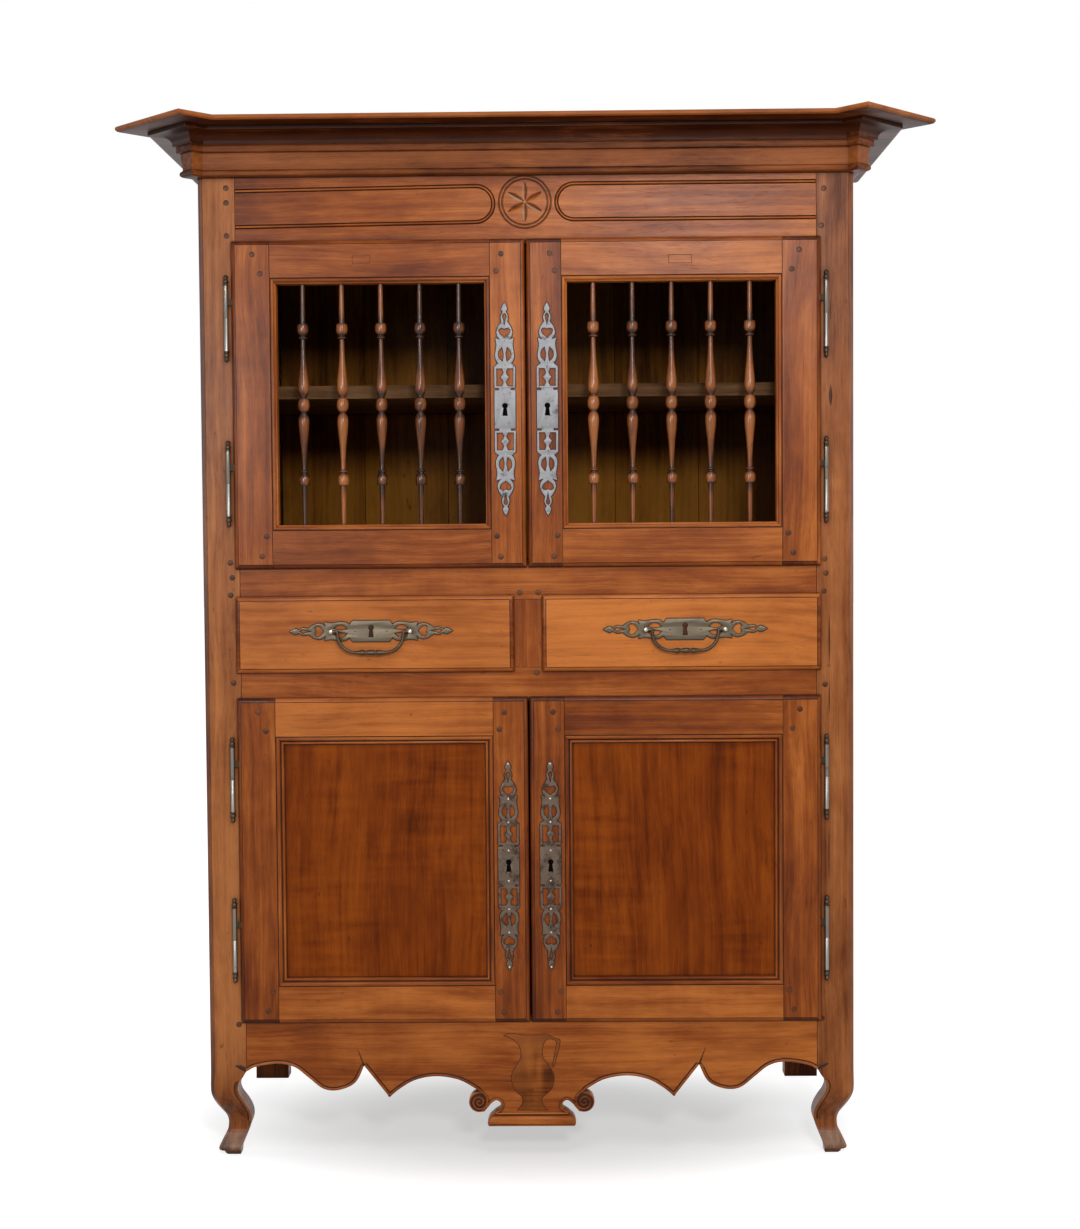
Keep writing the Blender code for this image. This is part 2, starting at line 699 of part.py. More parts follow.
class Door:
    """Sizes of one door, measured out from the middle of the cupboard."""

    def __init__(self, storey, word, side):
        upper = storey == "upper"
        self.name = f"{storey}_{word}"
        self.side = side
        self.z0 = (Z_UPPER if upper else Z_LOWER) - LIP
        self.z1 = (Z_UPPER_TOP if upper else Z_LOWER_TOP) + LIP
        self.x0, self.x1 = DOOR_MEETING, DOOR_EDGE
        self.moulding = UPPER_MOULDING if upper else LOWER_MOULDING
        self.mx0 = self.x0 + (UPPER_LOCK_STILE if upper else LOWER_LOCK_STILE)
        self.mx1 = self.x1 - HINGE_STILE
        self.mz0 = self.z0 + (UPPER_BOTTOM_RAIL if upper else LOWER_BOTTOM_RAIL)
        self.mz1 = self.z1 - (UPPER_TOP_RAIL if upper else LOWER_TOP_RAIL)
        self.insets = UPPER_HINGE_INSETS if upper else LOWER_HINGE_INSETS
        self.pivot = pivot(f"{self.name}_door_pivot", (side * HINGE_X, HINGE_Y, (self.z0 + self.z1) / 2))

    def outer(self, inset, y, relief=0.0):
        """The door's outline drawn in; relief is the draw at the meeting edge."""
        x0 = self.x0 + relief
        return rectangle(self.side, x0, self.x1 - inset, self.z0 + inset, self.z1 - inset, y)

    def inner(self, inset, y):
        """The moulding's outer edge drawn in towards the opening."""
        x0, x1 = self.mx0 + inset, self.mx1 - inset
        return rectangle(self.side, x0, x1, self.mz0 + inset, self.mz1 - inset, y)


def lip_profile():
    """Edge of a lipped front, from the frame it lies on to the front face, as (inset, y)."""
    points = [(0, FRONT - FIT_GAP), (0, FRONT - LIP_EDGE)]
    rise = LIP_PROUD - LIP_EDGE - LIP_STEP
    for degrees in (30, 60, 90):
        angle = math.radians(degrees)
        inset = LIP_ROUND * (1 - math.cos(angle))
        points.append((inset, FRONT - LIP_EDGE - rise * math.sin(angle)))
    return [*points, (LIP_ROUND, DOOR_FACE)]


def outer_rings(door):
    """Back edge, lip and front edge of a door frame."""
    body = LIP + DOOR_CLEARANCE
    rings = [door.outer(body, y, MEETING_RELIEF) for y in (FRONT + DOOR_BODY, FRONT - FIT_GAP)]
    return rings + [door.outer(inset, y, inset) for inset, y in lip_profile()]


def moulding_rings(door, depth):
    """Stepped quarter round on the inner edge, down to a depth behind the front face."""
    step = DOOR_FACE + MOULDING_STEP
    rings = [door.inner(0, DOOR_FACE), door.inner(0, step)]
    for degrees in (0, 30, 60, 90):
        angle = math.radians(degrees)
        inset = MOULDING_STEP + (door.moulding - 2 * MOULDING_STEP) * math.sin(angle)
        y = DOOR_FACE + depth - (depth - MOULDING_STEP) * math.cos(angle)
        rings.append(door.inner(inset, y))
    rings.append(door.inner(door.moulding, DOOR_FACE + depth))
    return rings


KNUCKLE_FACETS = 8


def finial_profile(foot, sign):
    """Turned end of a hinge barrel, from the barrel out to its tip, as (radius, height)."""
    shape = ((0.8, 0.0), (1.0, 0.12), (0.5, 0.30), (0.95, 0.55), (0.45, 0.80), (0, 1.0))
    return [(FINIAL_COLLAR * wide, foot + sign * FINIAL * along) for wide, along in shape]


def hinge(door, index, middle):
    """Pintle on the post, and the knuckle that goes with the door; returns the knuckle's pieces."""
    half = HINGE_LENGTH / 2
    pin_top = middle + half - FINIAL - 2 * PIN_RADIUS
    pintle = [
        (0, pin_top),
        (PIN_RADIUS, pin_top - PIN_RADIUS),
        (PIN_RADIUS, middle),
        (BARREL_RADIUS, middle),
        *finial_profile(middle - half + FINIAL, -1),
    ]
    part = turned(f"hinge_pintle_{door.name}_{index}", pintle, KNUCKLE_FACETS, IRON)
    part.location = (door.side * HINGE_X, HINGE_Y, 0)
    bore = PIN_RADIUS + BORE_CLEARANCE
    foot = middle + FIT_GAP
    bore_top = pin_top + BORE_CLEARANCE
    knuckle = [
        *reversed(finial_profile(middle + half - FINIAL, 1)),
        (BARREL_RADIUS, foot),
        (bore, foot),
        (bore, bore_top - PIN_RADIUS),
        (0, bore_top),
    ]
    barrel = turned(f"{door.name}_knuckle_{index}", knuckle, KNUCKLE_FACETS, collection=CUTTERS)
    barrel.location = part.location
    leaf_low = foot + (half - FINIAL - LEAF_HEIGHT) / 2
    reach = DOOR_EDGE - LIP / 2
    wall = (bore + BARREL_RADIUS) / 2
    xs = sorted((door.side * reach, door.side * (HINGE_X - wall)))
    low = (xs[0], HINGE_Y - LEAF_THICKNESS / 2, leaf_low)
    high = (xs[1], HINGE_Y + LEAF_THICKNESS / 2, leaf_low + LEAF_HEIGHT)
    leaf = block(f"{door.name}_leaf_{index}", low, high, collection=CUTTERS)
    return barrel, leaf


def hang(door, stile):
    """Hinges of one door; the knuckles are fast to its stile."""
    for index, inset in enumerate(door.insets):
        middle = door.z0 + inset if index == 0 else door.z1 - inset
        for piece in hinge(door, index + 1, middle):
            combine(stile, piece, "UNION")


SPINDLE_HALF = (  # distance from the middle, radius
    (0.0000, 0.0112),
    (0.0085, 0.0098),
    (0.0150, 0.0063),
    (0.0190, 0.0076),
    (0.0380, 0.0106),
    (0.0700, 0.0086),
    (0.1255, 0.0049),
    (0.1290, 0.0088),
    (0.1350, 0.0072),
    (0.1410, 0.0110),
    (0.1560, 0.0102),
    (0.1620, 0.0058),
)
SPINDLE_FACETS = 8
SPINDLE_Y = FRONT + SPINDLE_SET_BACK


def saw_outline(door, top, grow):
    """Front view of a rail, cut square on its stiles and mitred through the moulding."""
    end = door.mz1 if top else door.mz0
    away = 1 if top else -1
    edge = (door.z1 if top else door.z0) + away * OVERRUN
    past = door.moulding + OVERRUN
    mitre = end - away * (math.sqrt(2) - 1) * grow
    tip = end - away * past
    slide = math.sqrt(2) * grow
    return [
        (door.mx0 - grow, edge),
        (door.mx1 + grow, edge),
        (door.mx1 + grow, mitre),
        (door.mx1 - past + slide, tip),
        (door.mx0 + past - slide, tip),
        (door.mx0 - grow, mitre),
    ]


def saw(door, top, grow):
    outline = saw_outline(door, top, grow)
    depth = (DOOR_FACE - OVERRUN, FRONT + DOOR_BODY + OVERRUN)
    rings = [[(door.side * x, y, z) for x, z in outline] for y in depth]
    kind = "top" if top else "bottom"
    kerf = "kerf" if grow else "rail"
    return loft(f"{door.name}_{kind}_{kerf}_saw", rings, collection=CUTTERS)


def spindle_places(door):
    middle = (door.mx0 + door.mx1) / 2
    return [middle + (i - (SPINDLES - 1) / 2) * SPINDLE_PITCH for i in range(SPINDLES)]


def spindle_sockets(door, top):
    """Bores in a rail's edge for the spindles' ends."""
    bm = bmesh.new()
    edge = door.mz1 - door.moulding if top else door.mz0 + door.moulding
    radius = (SPINDLE_ROD + FIT_GAP) / math.cos(math.pi / SPINDLE_FACETS)
    depth = SPINDLE_TENON + FIT_GAP
    for x in spindle_places(door):
        drill = bmesh.ops.create_cone(
            bm, cap_ends=True, segments=SPINDLE_FACETS, radius1=radius, radius2=radius, depth=2 * depth
        )["verts"]
        bmesh.ops.translate(bm, vec=(door.side * x, SPINDLE_Y, edge), verts=drill)
    kind = "top" if top else "bottom"
    return from_bmesh(f"{door.name}_{kind}_sockets", bm, collection=CUTTERS)


def upper_door(word, side):
    """Door with an open frame of two stiles and two rails, five turned spindles in it."""
    door = Door("upper", word, side)
    rings = outer_rings(door) + moulding_rings(door, UPPER_MOULDING_DEPTH)
    rings.append(door.inner(door.moulding, FRONT + DOOR_BODY))
    stiles = []
    for kind in ("hinge_stile", "lock_stile"):
        stile = loft(f"{door.name}_{kind}", rings, CHERRY, closed=True)
        for top in (True, False):
            combine(stile, saw(door, top, FIT_GAP), "DIFFERENCE")
        stiles.append(stile)
    middle = (door.mx0 + door.mx1) / 2
    spans = ((door.x0 - OVERRUN, middle), (middle, door.x1 + OVERRUN))
    for stile, (x0, x1) in zip(stiles, spans):
        xs = sorted((side * x0, side * x1))
        low = (xs[0], DOOR_FACE - OVERRUN, door.z0 - OVERRUN)
        high = (xs[1], FRONT + DOOR_BODY + OVERRUN, door.z1 + OVERRUN)
        combine(stile, block(f"{stile.name}_parting", low, high, collection=CUTTERS), "DIFFERENCE")
        carry(stile, door.pivot)
    hang(door, stiles[0])
    for kind, top in (("top_rail", True), ("bottom_rail", False)):
        rail = loft(f"{door.name}_{kind}", rings, CHERRY, closed=True)
        combine(rail, saw(door, top, 0.0), "INTERSECT")
        combine(rail, spindle_sockets(door, top), "DIFFERENCE")
        carry(rail, door.pivot)
    spindles(door)
    lock_plate(door, PLATE_RISE_UPPER, PEWTER)


def spindles(door):
    opening_low = door.mz0 + door.moulding
    opening_high = door.mz1 - door.moulding
    middle = (opening_low + opening_high) / 2
    seat = (opening_high - opening_low) / 2
    end = seat + SPINDLE_TENON
    tenon = [(seat - SPINDLE_ROD, SPINDLE_ROD), (end, SPINDLE_ROD), (end, 0)]
    half = [*SPINDLE_HALF, *tenon]
    upper = [(radius, away) for away, radius in reversed(half)]
    lower = [(radius, -away) for away, radius in half[1:]]
    profile = upper + lower
    for i, x in enumerate(spindle_places(door)):
        spindle = turned(f"{door.name}_spindle_{i + 1}", profile, SPINDLE_FACETS, CHERRY)
        spindle.location = (door.side * x, SPINDLE_Y, middle)
        carry(spindle, door.pivot)


def lower_door(word, side):
    """Door with a moulded frame, pegged fast as one, round a flat panel held in its groove."""
    door = Door("lower", word, side)
    rings = outer_rings(door) + moulding_rings(door, PANEL_SINK - PANEL_COVER)
    face = DOOR_FACE + PANEL_SINK
    edge = door.moulding - PANEL_TONGUE
    groove_front = face - FIT_GAP
    groove_back = face + PANEL_THICKNESS + FIT_GAP
    rings += [
        door.inner(door.moulding, groove_front),
        door.inner(edge, groove_front),
        door.inner(edge, groove_back),
        door.inner(door.moulding, groove_back),
        door.inner(door.moulding, FRONT + DOOR_BODY),
    ]
    frame = loft(f"{door.name}_door_frame", rings, CHERRY, closed=True)
    hang(door, frame)
    carry(frame, door.pivot)
    tongue = edge + FIT_GAP
    faces = [door.inner(tongue, y) for y in (face, face + PANEL_THICKNESS)]
    panel = loft(f"{door.name}_panel", faces, PANEL_WOOD)
    carry(panel, door.pivot)
    lock_plate(door, PLATE_RISE_LOWER, IRON)


# Ironwork

WING = (  # out from the shoulder, half width, kind
    (0.0060, 0.0128, "corner"),
    (0.0130, 0.0175, "smooth"),
    (0.0235, 0.0190, "smooth"),
    (0.0425, 0.0164, "smooth"),
    (0.0565, 0.0187, "corner"),
    (0.0530, 0.0090, "corner"),
    (0.0600, 0.0145, "corner"),
    (0.0685, 0.0160, "smooth"),
    (0.0795, 0.0125, "corner"),
    (0.0880, 0.0060, "corner"),
    (0.0985, 0.0075, "smooth"),
    (0.1075, 0.0032, "corner"),
    (0.1140, 0.0060, "smooth"),
)
WING_TEARDROP = ((0.0800, 0.0, "corner"), (0.0920, 0.0022, "corner"), (0.1000, 0.0040, "smooth"))
WING_TEARDROP_TIP = 0.1045
WING_HEART = ((0.0562, 0.0, "corner"), (0.0640, 0.0095, "corner"), (0.0715, 0.0115, "smooth"))
WING_HEART_LOBE = (0.0755, 0.0060, "smooth")
WING_HEART_DIP = 0.0735
WING_ALMOND = (
    (0.0385, 0.0050, "corner"),
    (0.0310, 0.0114, "smooth"),
    (0.0240, 0.0130, "smooth"),
    (0.0165, 0.0112, "smooth"),
    (0.0095, 0.0042, "corner"),
    (0.0240, 0.0022, "smooth"),
)
FRET_MARGIN = 0.004
FRET_OUTER = 0.0166
FRET_NECK = 0.0028
FRET_DIAMOND = 0.0085
KEYHOLE_RADIUS = 0.0054
KEYHOLE_SLOT = 0.0052
KEYHOLE_HEIGHT = 0.025
PLATE_CURVE_STEPS = 1  # more make the plates' curves rounder
STUD_FACETS = 8


def mirrored(half):
    """A closed outline from its half at positive width, tip and foot on the axis."""
    return list(half) + [(along, -wide, kind) for along, wide, kind in reversed(half) if wide > 0]


def wing_edge(root):
    """Edge of a pierced wing on one side, from its shoulder at root to its tip."""
    points = [(root, PLATE_HALF_WIDTH, "corner")]
    points += [(root + along, wide, kind) for along, wide, kind in WING]
    return [*points, (root + PLATE_WING, 0.0, "corner")]


def wing_holes(root):
    teardrop = [*WING_TEARDROP, (WING_TEARDROP_TIP, 0.0, "smooth")]
    heart = [*WING_HEART, WING_HEART_LOBE, (WING_HEART_DIP, 0.0, "corner")]
    almond = list(WING_ALMOND)
    other = [(along, -wide, kind) for along, wide, kind in WING_ALMOND]
    holes = [mirrored(teardrop), mirrored(heart), almond, other]
    return [[(root + along, wide, kind) for along, wide, kind in hole] for hole in holes]


def fret_holes(root):
    """Two openings either side of a baluster, in the square part inside the shoulder."""
    far, near = root - FRET_MARGIN, root - PLATE_FRET + FRET_MARGIN
    middle = (far + near) / 2
    waist = (far - near) / 4
    half = [
        (far, FRET_OUTER, "corner"),
        (far, 2 * FRET_NECK, "corner"),
        (middle + waist, FRET_NECK, "corner"),
        (middle, FRET_DIAMOND, "corner"),
        (middle - waist, FRET_NECK, "corner"),
        (near, 2 * FRET_NECK, "corner"),
        (near, FRET_OUTER, "corner"),
    ]
    return [half, [(along, -wide, kind) for along, wide, kind in half]]


def keyhole():
    """Round-headed keyhole, standing upright, as (x, z, kind)."""
    top = KEYHOLE_HEIGHT / 2 - KEYHOLE_RADIUS
    head = arc((0, top), KEYHOLE_RADIUS, -55, 235, 6)
    foot = -KEYHOLE_HEIGHT / 2
    slot = [(-KEYHOLE_SLOT, foot), (KEYHOLE_SLOT, foot)]
    return [(x, z, "corner") for x, z in head + slot]


def both_ends(shapes):
    return shapes + [[(-along, wide, kind) for along, wide, kind in shape] for shape in shapes]


def upright(shape):
    return [(wide, along, kind) for along, wide, kind in shape]


def lock_plate(door, rise, material):
    """Long pierced plate with a keyhole, nailed on the meeting stile."""
    slot_out = PLATE_BODY + PLATE_SLOT
    shoulder = slot_out + PLATE_FRET
    notch = PLATE_HALF_WIDTH - PLATE_SLOT_DEPTH
    side = [
        (PLATE_BODY, PLATE_HALF_WIDTH, "corner"),
        (PLATE_BODY, notch, "corner"),
        (slot_out, notch, "corner"),
        (slot_out, PLATE_HALF_WIDTH, "corner"),
        *wing_edge(shoulder),
    ]
    end = mirrored(side)
    outline = end + [(-along, -wide, kind) for along, wide, kind in end]
    holes = both_ends(wing_holes(shoulder) + fret_holes(shoulder))
    splines = [upright(outline)] + [upright(hole) for hole in holes] + [keyhole()]
    plate = flat_outline(f"{door.name}_lock_plate", splines, PLATE_THICKNESS, PLATE_CURVE_STEPS, material)
    y = DOOR_FACE - FIT_GAP - PLATE_THICKNESS / 2
    plate.location = (door.side * PLATE_OFFSET, y, (door.z0 + door.z1) / 2 + rise)
    bpy.context.view_layer.update()
    carry(plate, door.pivot)


def pull_plate(word, side, slide):
    """Pierced plate of a drawer, with a keyhole and the two studs that hold its bail."""
    end = mirrored(wing_edge(PULL_HALF_WIDTH))
    outline = end + [(-along, -wide, kind) for along, wide, kind in end]
    splines = [outline, *both_ends(wing_holes(PULL_HALF_WIDTH)), keyhole()]
    plate = flat_outline(f"drawer_{word}_pull_plate", splines, PLATE_THICKNESS, PLATE_CURVE_STEPS, IRON)
    y = DOOR_FACE - FIT_GAP - PLATE_THICKNESS / 2
    plate.location = (side * PULL_X, y, PULL_Z)
    stud = [
        (0, STUD_LENGTH),
        (0.7 * STUD_RADIUS, 0.95 * STUD_LENGTH),
        (STUD_RADIUS, 0.75 * STUD_LENGTH),
        (STUD_RADIUS, 0.45 * STUD_LENGTH),
        (0.7 * STUD_RADIUS, 0.3 * STUD_LENGTH),
        (0.8 * STUD_RADIUS, -PLATE_THICKNESS / 2),
        (0, -PLATE_THICKNESS / 2),
    ]
    for end_word, end_side in SIDES.items():
        peg = turned(f"drawer_{word}_stud_{end_word}", stud, STUD_FACETS, collection=CUTTERS)
        peg.rotation_euler.x = math.pi / 2
        x = side * PULL_X + end_side * PULL_STUD_X
        peg.location = (x, plate.location.y - PLATE_THICKNESS / 2 + FIT_GAP, PULL_Z)
        combine(plate, peg, "UNION")
    bm = bmesh.new()
    span = 2 * (PULL_STUD_X + 2 * STUD_RADIUS)
    radius = BAIL_RADIUS + BORE_CLEARANCE
    bmesh.ops.create_cone(bm, cap_ends=True, segments=8, radius1=radius, radius2=radius, depth=span)
    place = Matrix.Translation((side * PULL_X, BAIL_Y, PULL_Z))
    bmesh.ops.transform(bm, matrix=place @ Matrix.Rotation(math.pi / 2, 4, "Y"), verts=bm.verts)
    combine(plate, from_bmesh(f"drawer_{word}_stud_bore", bm, collection=CUTTERS), "DIFFERENCE")
    bpy.context.view_layer.update()
    carry(plate, slide)


GRIP = (  # out from the middle of the bail, thickness there times the bail's
    (0.034, 1.15),
    (0.022, 1.45),
    (0.015, 1.70),
    (0.010, 1.15),
    (0.006, 1.45),
    (0.003, 1.60),
)


def bail(word, side, slide):
    """Swinging handle: pins in the studs, drawn-in sides and a turned grip."""
    reach = PULL_STUD_X - BAIL_INSET
    pin = PULL_STUD_X + 0.3 * STUD_RADIUS
    corner = arc((reach - BAIL_BEND, BAIL_BEND - BAIL_DROP), BAIL_BEND, 0, -90, 5)
    plain = [(pin, 0), (reach + BAIL_ELBOW, 0), (reach, -BAIL_ELBOW), *corner]
    right = plain + [(x, -BAIL_DROP) for x, swell in GRIP]
    thick = [1.0 for point in plain] + [swell for x, swell in GRIP]
    path = right + [(-x, z) for x, z in reversed(right)]
    handle = tube(
        f"drawer_{word}_bail",
        [(x, 0, z) for x, z in path],
        BAIL_RADIUS,
        IRON,
        sides=1,
        swell=thick + thick[::-1],
    )
    handle.location = (side * PULL_X, BAIL_Y, PULL_Z)
    bpy.context.view_layer.update()
    carry(handle, slide)


# Drawers


def drawer(word, side):
    x0, x1 = MUNTIN_WIDTH / 2, HALF_OPENING
    slide = pivot(f"drawer_{word}_slide", (side * DRAWER_MIDDLE, FRONT, Z_DRAWER))

    def face(inset, y):
        spread = LIP - inset
        return rectangle(side, x0 - spread, x1 + spread, Z_DRAWER - spread, Z_DRAWER_TOP + spread, y)

    back = FRONT + DRAWER_BODY
    body = LIP + DOOR_CLEARANCE
    rings = [face(body, y) for y in (back, FRONT - FIT_GAP)]
    rings += [face(inset, y) for inset, y in lip_profile()]
    carry(loft(f"drawer_{word}_front", rings, CHERRY), slide)

    def tray(inset, z):
        y0, y1 = back + FIT_GAP + inset, back + FIT_GAP + DRAWER_LENGTH - inset
        a, b = x0 + DOOR_CLEARANCE + inset, x1 - DOOR_CLEARANCE - inset
        return [(side * x, y, z) for x, y in ((a, y0), (b, y0), (b, y1), (a, y1))]

    foot = Z_DRAWER + FIT_GAP
    rim = Z_DRAWER_TOP - DRAWER_HEAD
    walls = [tray(0, foot), tray(0, rim), tray(DRAWER_WALL, rim), tray(DRAWER_WALL, foot + DRAWER_WALL)]
    carry(loft(f"drawer_{word}_box", walls, INSIDE_WOOD), slide)
    pull_plate(word, side, slide)
    bail(word, side, slide)


front_frame()
apron()
back_boards()
boards()
drawer_bed()
cornice()
for side_word, side_sign in SIDES.items():
    front_post(side_word, side_sign)
    back_post(side_word, side_sign)
    side_frame(side_word, side_sign)
    upper_door(side_word, side_sign)
    lower_door(side_word, side_sign)
    drawer(side_word, side_sign)

for piece in PARTS.objects:
    if piece.type == "MESH":
        piece.data.shade_smooth()
        piece.data.set_sharp_from_angle(angle=math.radians(30))
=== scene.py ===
# %% [markdown]
# A country pantry cupboard in fruitwood: two doors with turned spindles above, two drawers, two panelled
# doors below, on short cabriole legs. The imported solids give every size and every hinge. This lesson puts
# the visible pieces on them: boards with worn edges, turned and carved work, pierced iron, and the
# finishes. Everything is in metres. The front faces -Y and +X is the viewer's right.

# %% Load the frame
import math
import random

import bmesh
import bpy
from mathutils import Matrix, Vector


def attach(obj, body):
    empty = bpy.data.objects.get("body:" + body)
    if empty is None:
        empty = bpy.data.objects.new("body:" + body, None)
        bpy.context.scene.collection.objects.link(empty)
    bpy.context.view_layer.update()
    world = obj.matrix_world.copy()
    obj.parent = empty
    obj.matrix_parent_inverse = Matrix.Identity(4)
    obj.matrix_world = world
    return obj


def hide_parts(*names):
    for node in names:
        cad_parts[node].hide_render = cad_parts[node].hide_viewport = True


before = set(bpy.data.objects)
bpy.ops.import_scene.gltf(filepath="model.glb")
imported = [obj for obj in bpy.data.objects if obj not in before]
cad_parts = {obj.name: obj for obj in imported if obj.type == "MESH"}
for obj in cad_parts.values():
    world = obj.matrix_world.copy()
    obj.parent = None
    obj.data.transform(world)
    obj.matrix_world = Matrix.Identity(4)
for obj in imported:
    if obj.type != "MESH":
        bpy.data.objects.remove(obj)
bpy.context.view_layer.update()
scene = bpy.context.scene
scene.view_settings.view_transform = "Standard"

# %% [markdown]
# The cupboard was seen from a little above its middle, almost square on. A camera can be placed by eye, but
# here its place, turn and focal length come from measured corners, so that edges fall where they should.

# %% Camera
CAMERA_PLACE = (0.0712, -3.9868, 1.2545)
CAMERA_YAW = math.radians(0.719)
CAMERA_PITCH = math.radians(2.394)
CAMERA_ROLL = math.radians(-0.429)
FOCAL_PIXELS = 1887.3
PHOTO_HEIGHT = 1229

lens = bpy.data.cameras.new("viewer")
lens.sensor_width = 36
lens.lens = lens.sensor_width * FOCAL_PIXELS / PHOTO_HEIGHT
viewer = bpy.data.objects.new("viewer", lens)
level = Matrix.Rotation(CAMERA_YAW, 4, "Z") @ Matrix.Rotation(math.pi / 2 - CAMERA_PITCH, 4, "X")
viewer.matrix_world = Matrix.Translation(CAMERA_PLACE) @ level @ Matrix.Rotation(CAMERA_ROLL, 4, "Z")
scene.collection.objects.link(viewer)
scene.camera = viewer
print("lens:", round(lens.lens, 2), "mm")

# %% [markdown]
# Wood and iron are painted by sums: streaks plus cloud, less dirt. Nodes could be wired one by one, but
# long sums are easier to read as sums. A Signal wraps one socket, and Python's own operators add the Math
# nodes. A Recipe holds the tree, and its node method makes every other node.


# %% Shader maths
def pick(sockets, key):
    """A socket that is in use, by its place or by its name."""
    used = [socket for socket in sockets if socket.enabled]
    if isinstance(key, int):
        return used[key]
    return next(socket for socket in used if key in (socket.name, socket.identifier))


class Signal:
    """One socket of a node tree, which answers to Python's operators."""

    def __init__(self, recipe, socket):
        self.recipe = recipe
        self.socket = socket

    def out(self, name):
        return Signal(self.recipe, pick(self.socket.node.outputs, name))

    def work(self, operation, *values):
        kinds = [value.socket.type for value in values if isinstance(value, Signal)]
        kind = "VectorMath" if "VECTOR" in kinds else "Math"
        return self.recipe.node(kind, {"operation": operation}, dict(enumerate(values)))

    def __add__(self, other):
        return self.work("ADD", self, other)

    __radd__ = __add__

    def __sub__(self, other):
        return self.work("SUBTRACT", self, other)

    def __rsub__(self, other):
        return self.work("SUBTRACT", other, self)

    def __mul__(self, other):
        return self.work("MULTIPLY", self, other)

    __rmul__ = __mul__


class Recipe:
    """The node tree of one finish."""

    def __init__(self, tree):
        self.tree = tree

    def node(self, kind, settings=None, sockets=None, output=0):
        node = self.tree.nodes.new("ShaderNode" + kind)
        for name, value in (settings or {}).items():
            if name == "stops":
                self.fill(node.color_ramp, value)
            else:
                setattr(node, name, value)
        for key, value in (sockets or {}).items():
            self.feed(pick(node.inputs, key), value)
        return Signal(self, pick(node.outputs, output))

    def feed(self, socket, value):
        if isinstance(value, Signal):
            self.tree.links.new(value.socket, socket)
        elif socket.type == "RGBA":
            socket.default_value = (*value, 1.0)
        elif socket.type == "VECTOR" and not isinstance(value, (tuple, Vector)):
            socket.default_value = (value, value, value)
        else:
            socket.default_value = value

    def fill(self, ramp, stops):
        while len(ramp.elements) < len(stops):
            ramp.elements.new(1.0)
        for element, (place, colour) in zip(ramp.elements, stops):
            element.position = place
            element.color = (*colour, 1.0)

    def noise(self, place, detail=2.0, roughness=0.5):
        sockets = {"Vector": place, "Scale": 1.0, "Detail": detail, "Roughness": roughness}
        return self.node("TexNoise", {}, sockets)

    def mix(self, factor, first, second):
        """The first colour, covered by the second as far as the factor says."""
        return self.node("Mix", {"data_type": "RGBA"}, {"Factor": factor, "A": first, "B": second})

    def span(self, value, low, high):
        """0 below low, 1 above high, and a soft step between."""
        settings = {"interpolation_type": "SMOOTHSTEP"}
        return self.node("MapRange", settings, {"Value": value, "From Min": low, "From Max": high})


def paint(red, green, blue):
    """A colour as a screen shows it, 0 to 255, in the linear numbers that shaders take."""
    shares = (red / 255, green / 255, blue / 255)
    return tuple(s / 12.92 if s <= 0.04045 else ((s + 0.055) / 1.055) ** 2.4 for s in shares)


print("shader maths ready; mid brown is", [round(c, 3) for c in paint(150, 84, 42)])

# %% [markdown]
# The cupboard stands in a white studio. More lamps could make it white, but they would bleach the wood. So
# the white is only what the camera and the polish see, and the light that falls on the wood stays at a
# plain level, at which a colour renders about as it is written. A lamp beside the camera looks through the
# spindles, one overhead gives the shadows under the lips, and three weak ones fill the sides and the back.
# A white card far to the left shows only in the polish, where it lays a cool sheen on the left post.

# %% Studio
AMBIENT = 0.30
WHITE = (1.0, 1.0, 1.0)


def only_seen(recipe):
    """1 for what the camera, the polish and glass look at, 0 for the light that falls on the cupboard."""
    ray = recipe.node("LightPath", output="Is Camera Ray")
    seen = ray + ray.out("Is Glossy Ray") + ray.out("Is Transmission Ray")
    return recipe.node("Math", {"operation": "MINIMUM"}, {0: seen, 1: 1.0})


world = bpy.data.worlds.new("studio")
scene.world = world
world.use_nodes = True
sky = Recipe(world.node_tree)
background = world.node_tree.nodes["Background"]
sky.feed(background.inputs["Strength"], AMBIENT + (1 - AMBIENT) * only_seen(sky))
sky.feed(background.inputs["Color"], WHITE)


def soft_box(name, place, aim, size, watts, gloss_only=False):
    """A square lamp at a place, turned to what it lights."""
    lamp = bpy.data.lights.new(name, "AREA")
    lamp.size = size
    lamp.energy = watts
    box = bpy.data.objects.new(name, lamp)
    toward = Vector(aim) - Vector(place)
    box.matrix_world = Matrix.Translation(place) @ toward.to_track_quat("-Z", "Y").to_matrix().to_4x4()
    box.visible_diffuse = not gloss_only
    scene.collection.objects.link(box)


soft_box("front", (0.62, -4.3, 2.5), (0.0, -0.2, 1.1), 0.6, 77)
soft_box("overhead", (0.4, -2.3, 3.7), (0.0, -0.2, 1.0), 1.4, 27)
soft_box("left_fill", (-4.2, 0.6, 1.7), (0.0, 0.1, 1.1), 1.6, 26)
soft_box("right_fill", (4.2, 0.6, 1.7), (0.0, 0.1, 1.1), 1.6, 26)
soft_box("back_fill", (0.0, 4.4, 2.3), (0.0, 0.3, 1.1), 1.6, 30)
soft_box("left_card", (-1.75, -4.0, 1.85), (-0.6, -0.2, 1.5), 0.6, 70, gloss_only=True)
print("studio: ambient", AMBIENT)
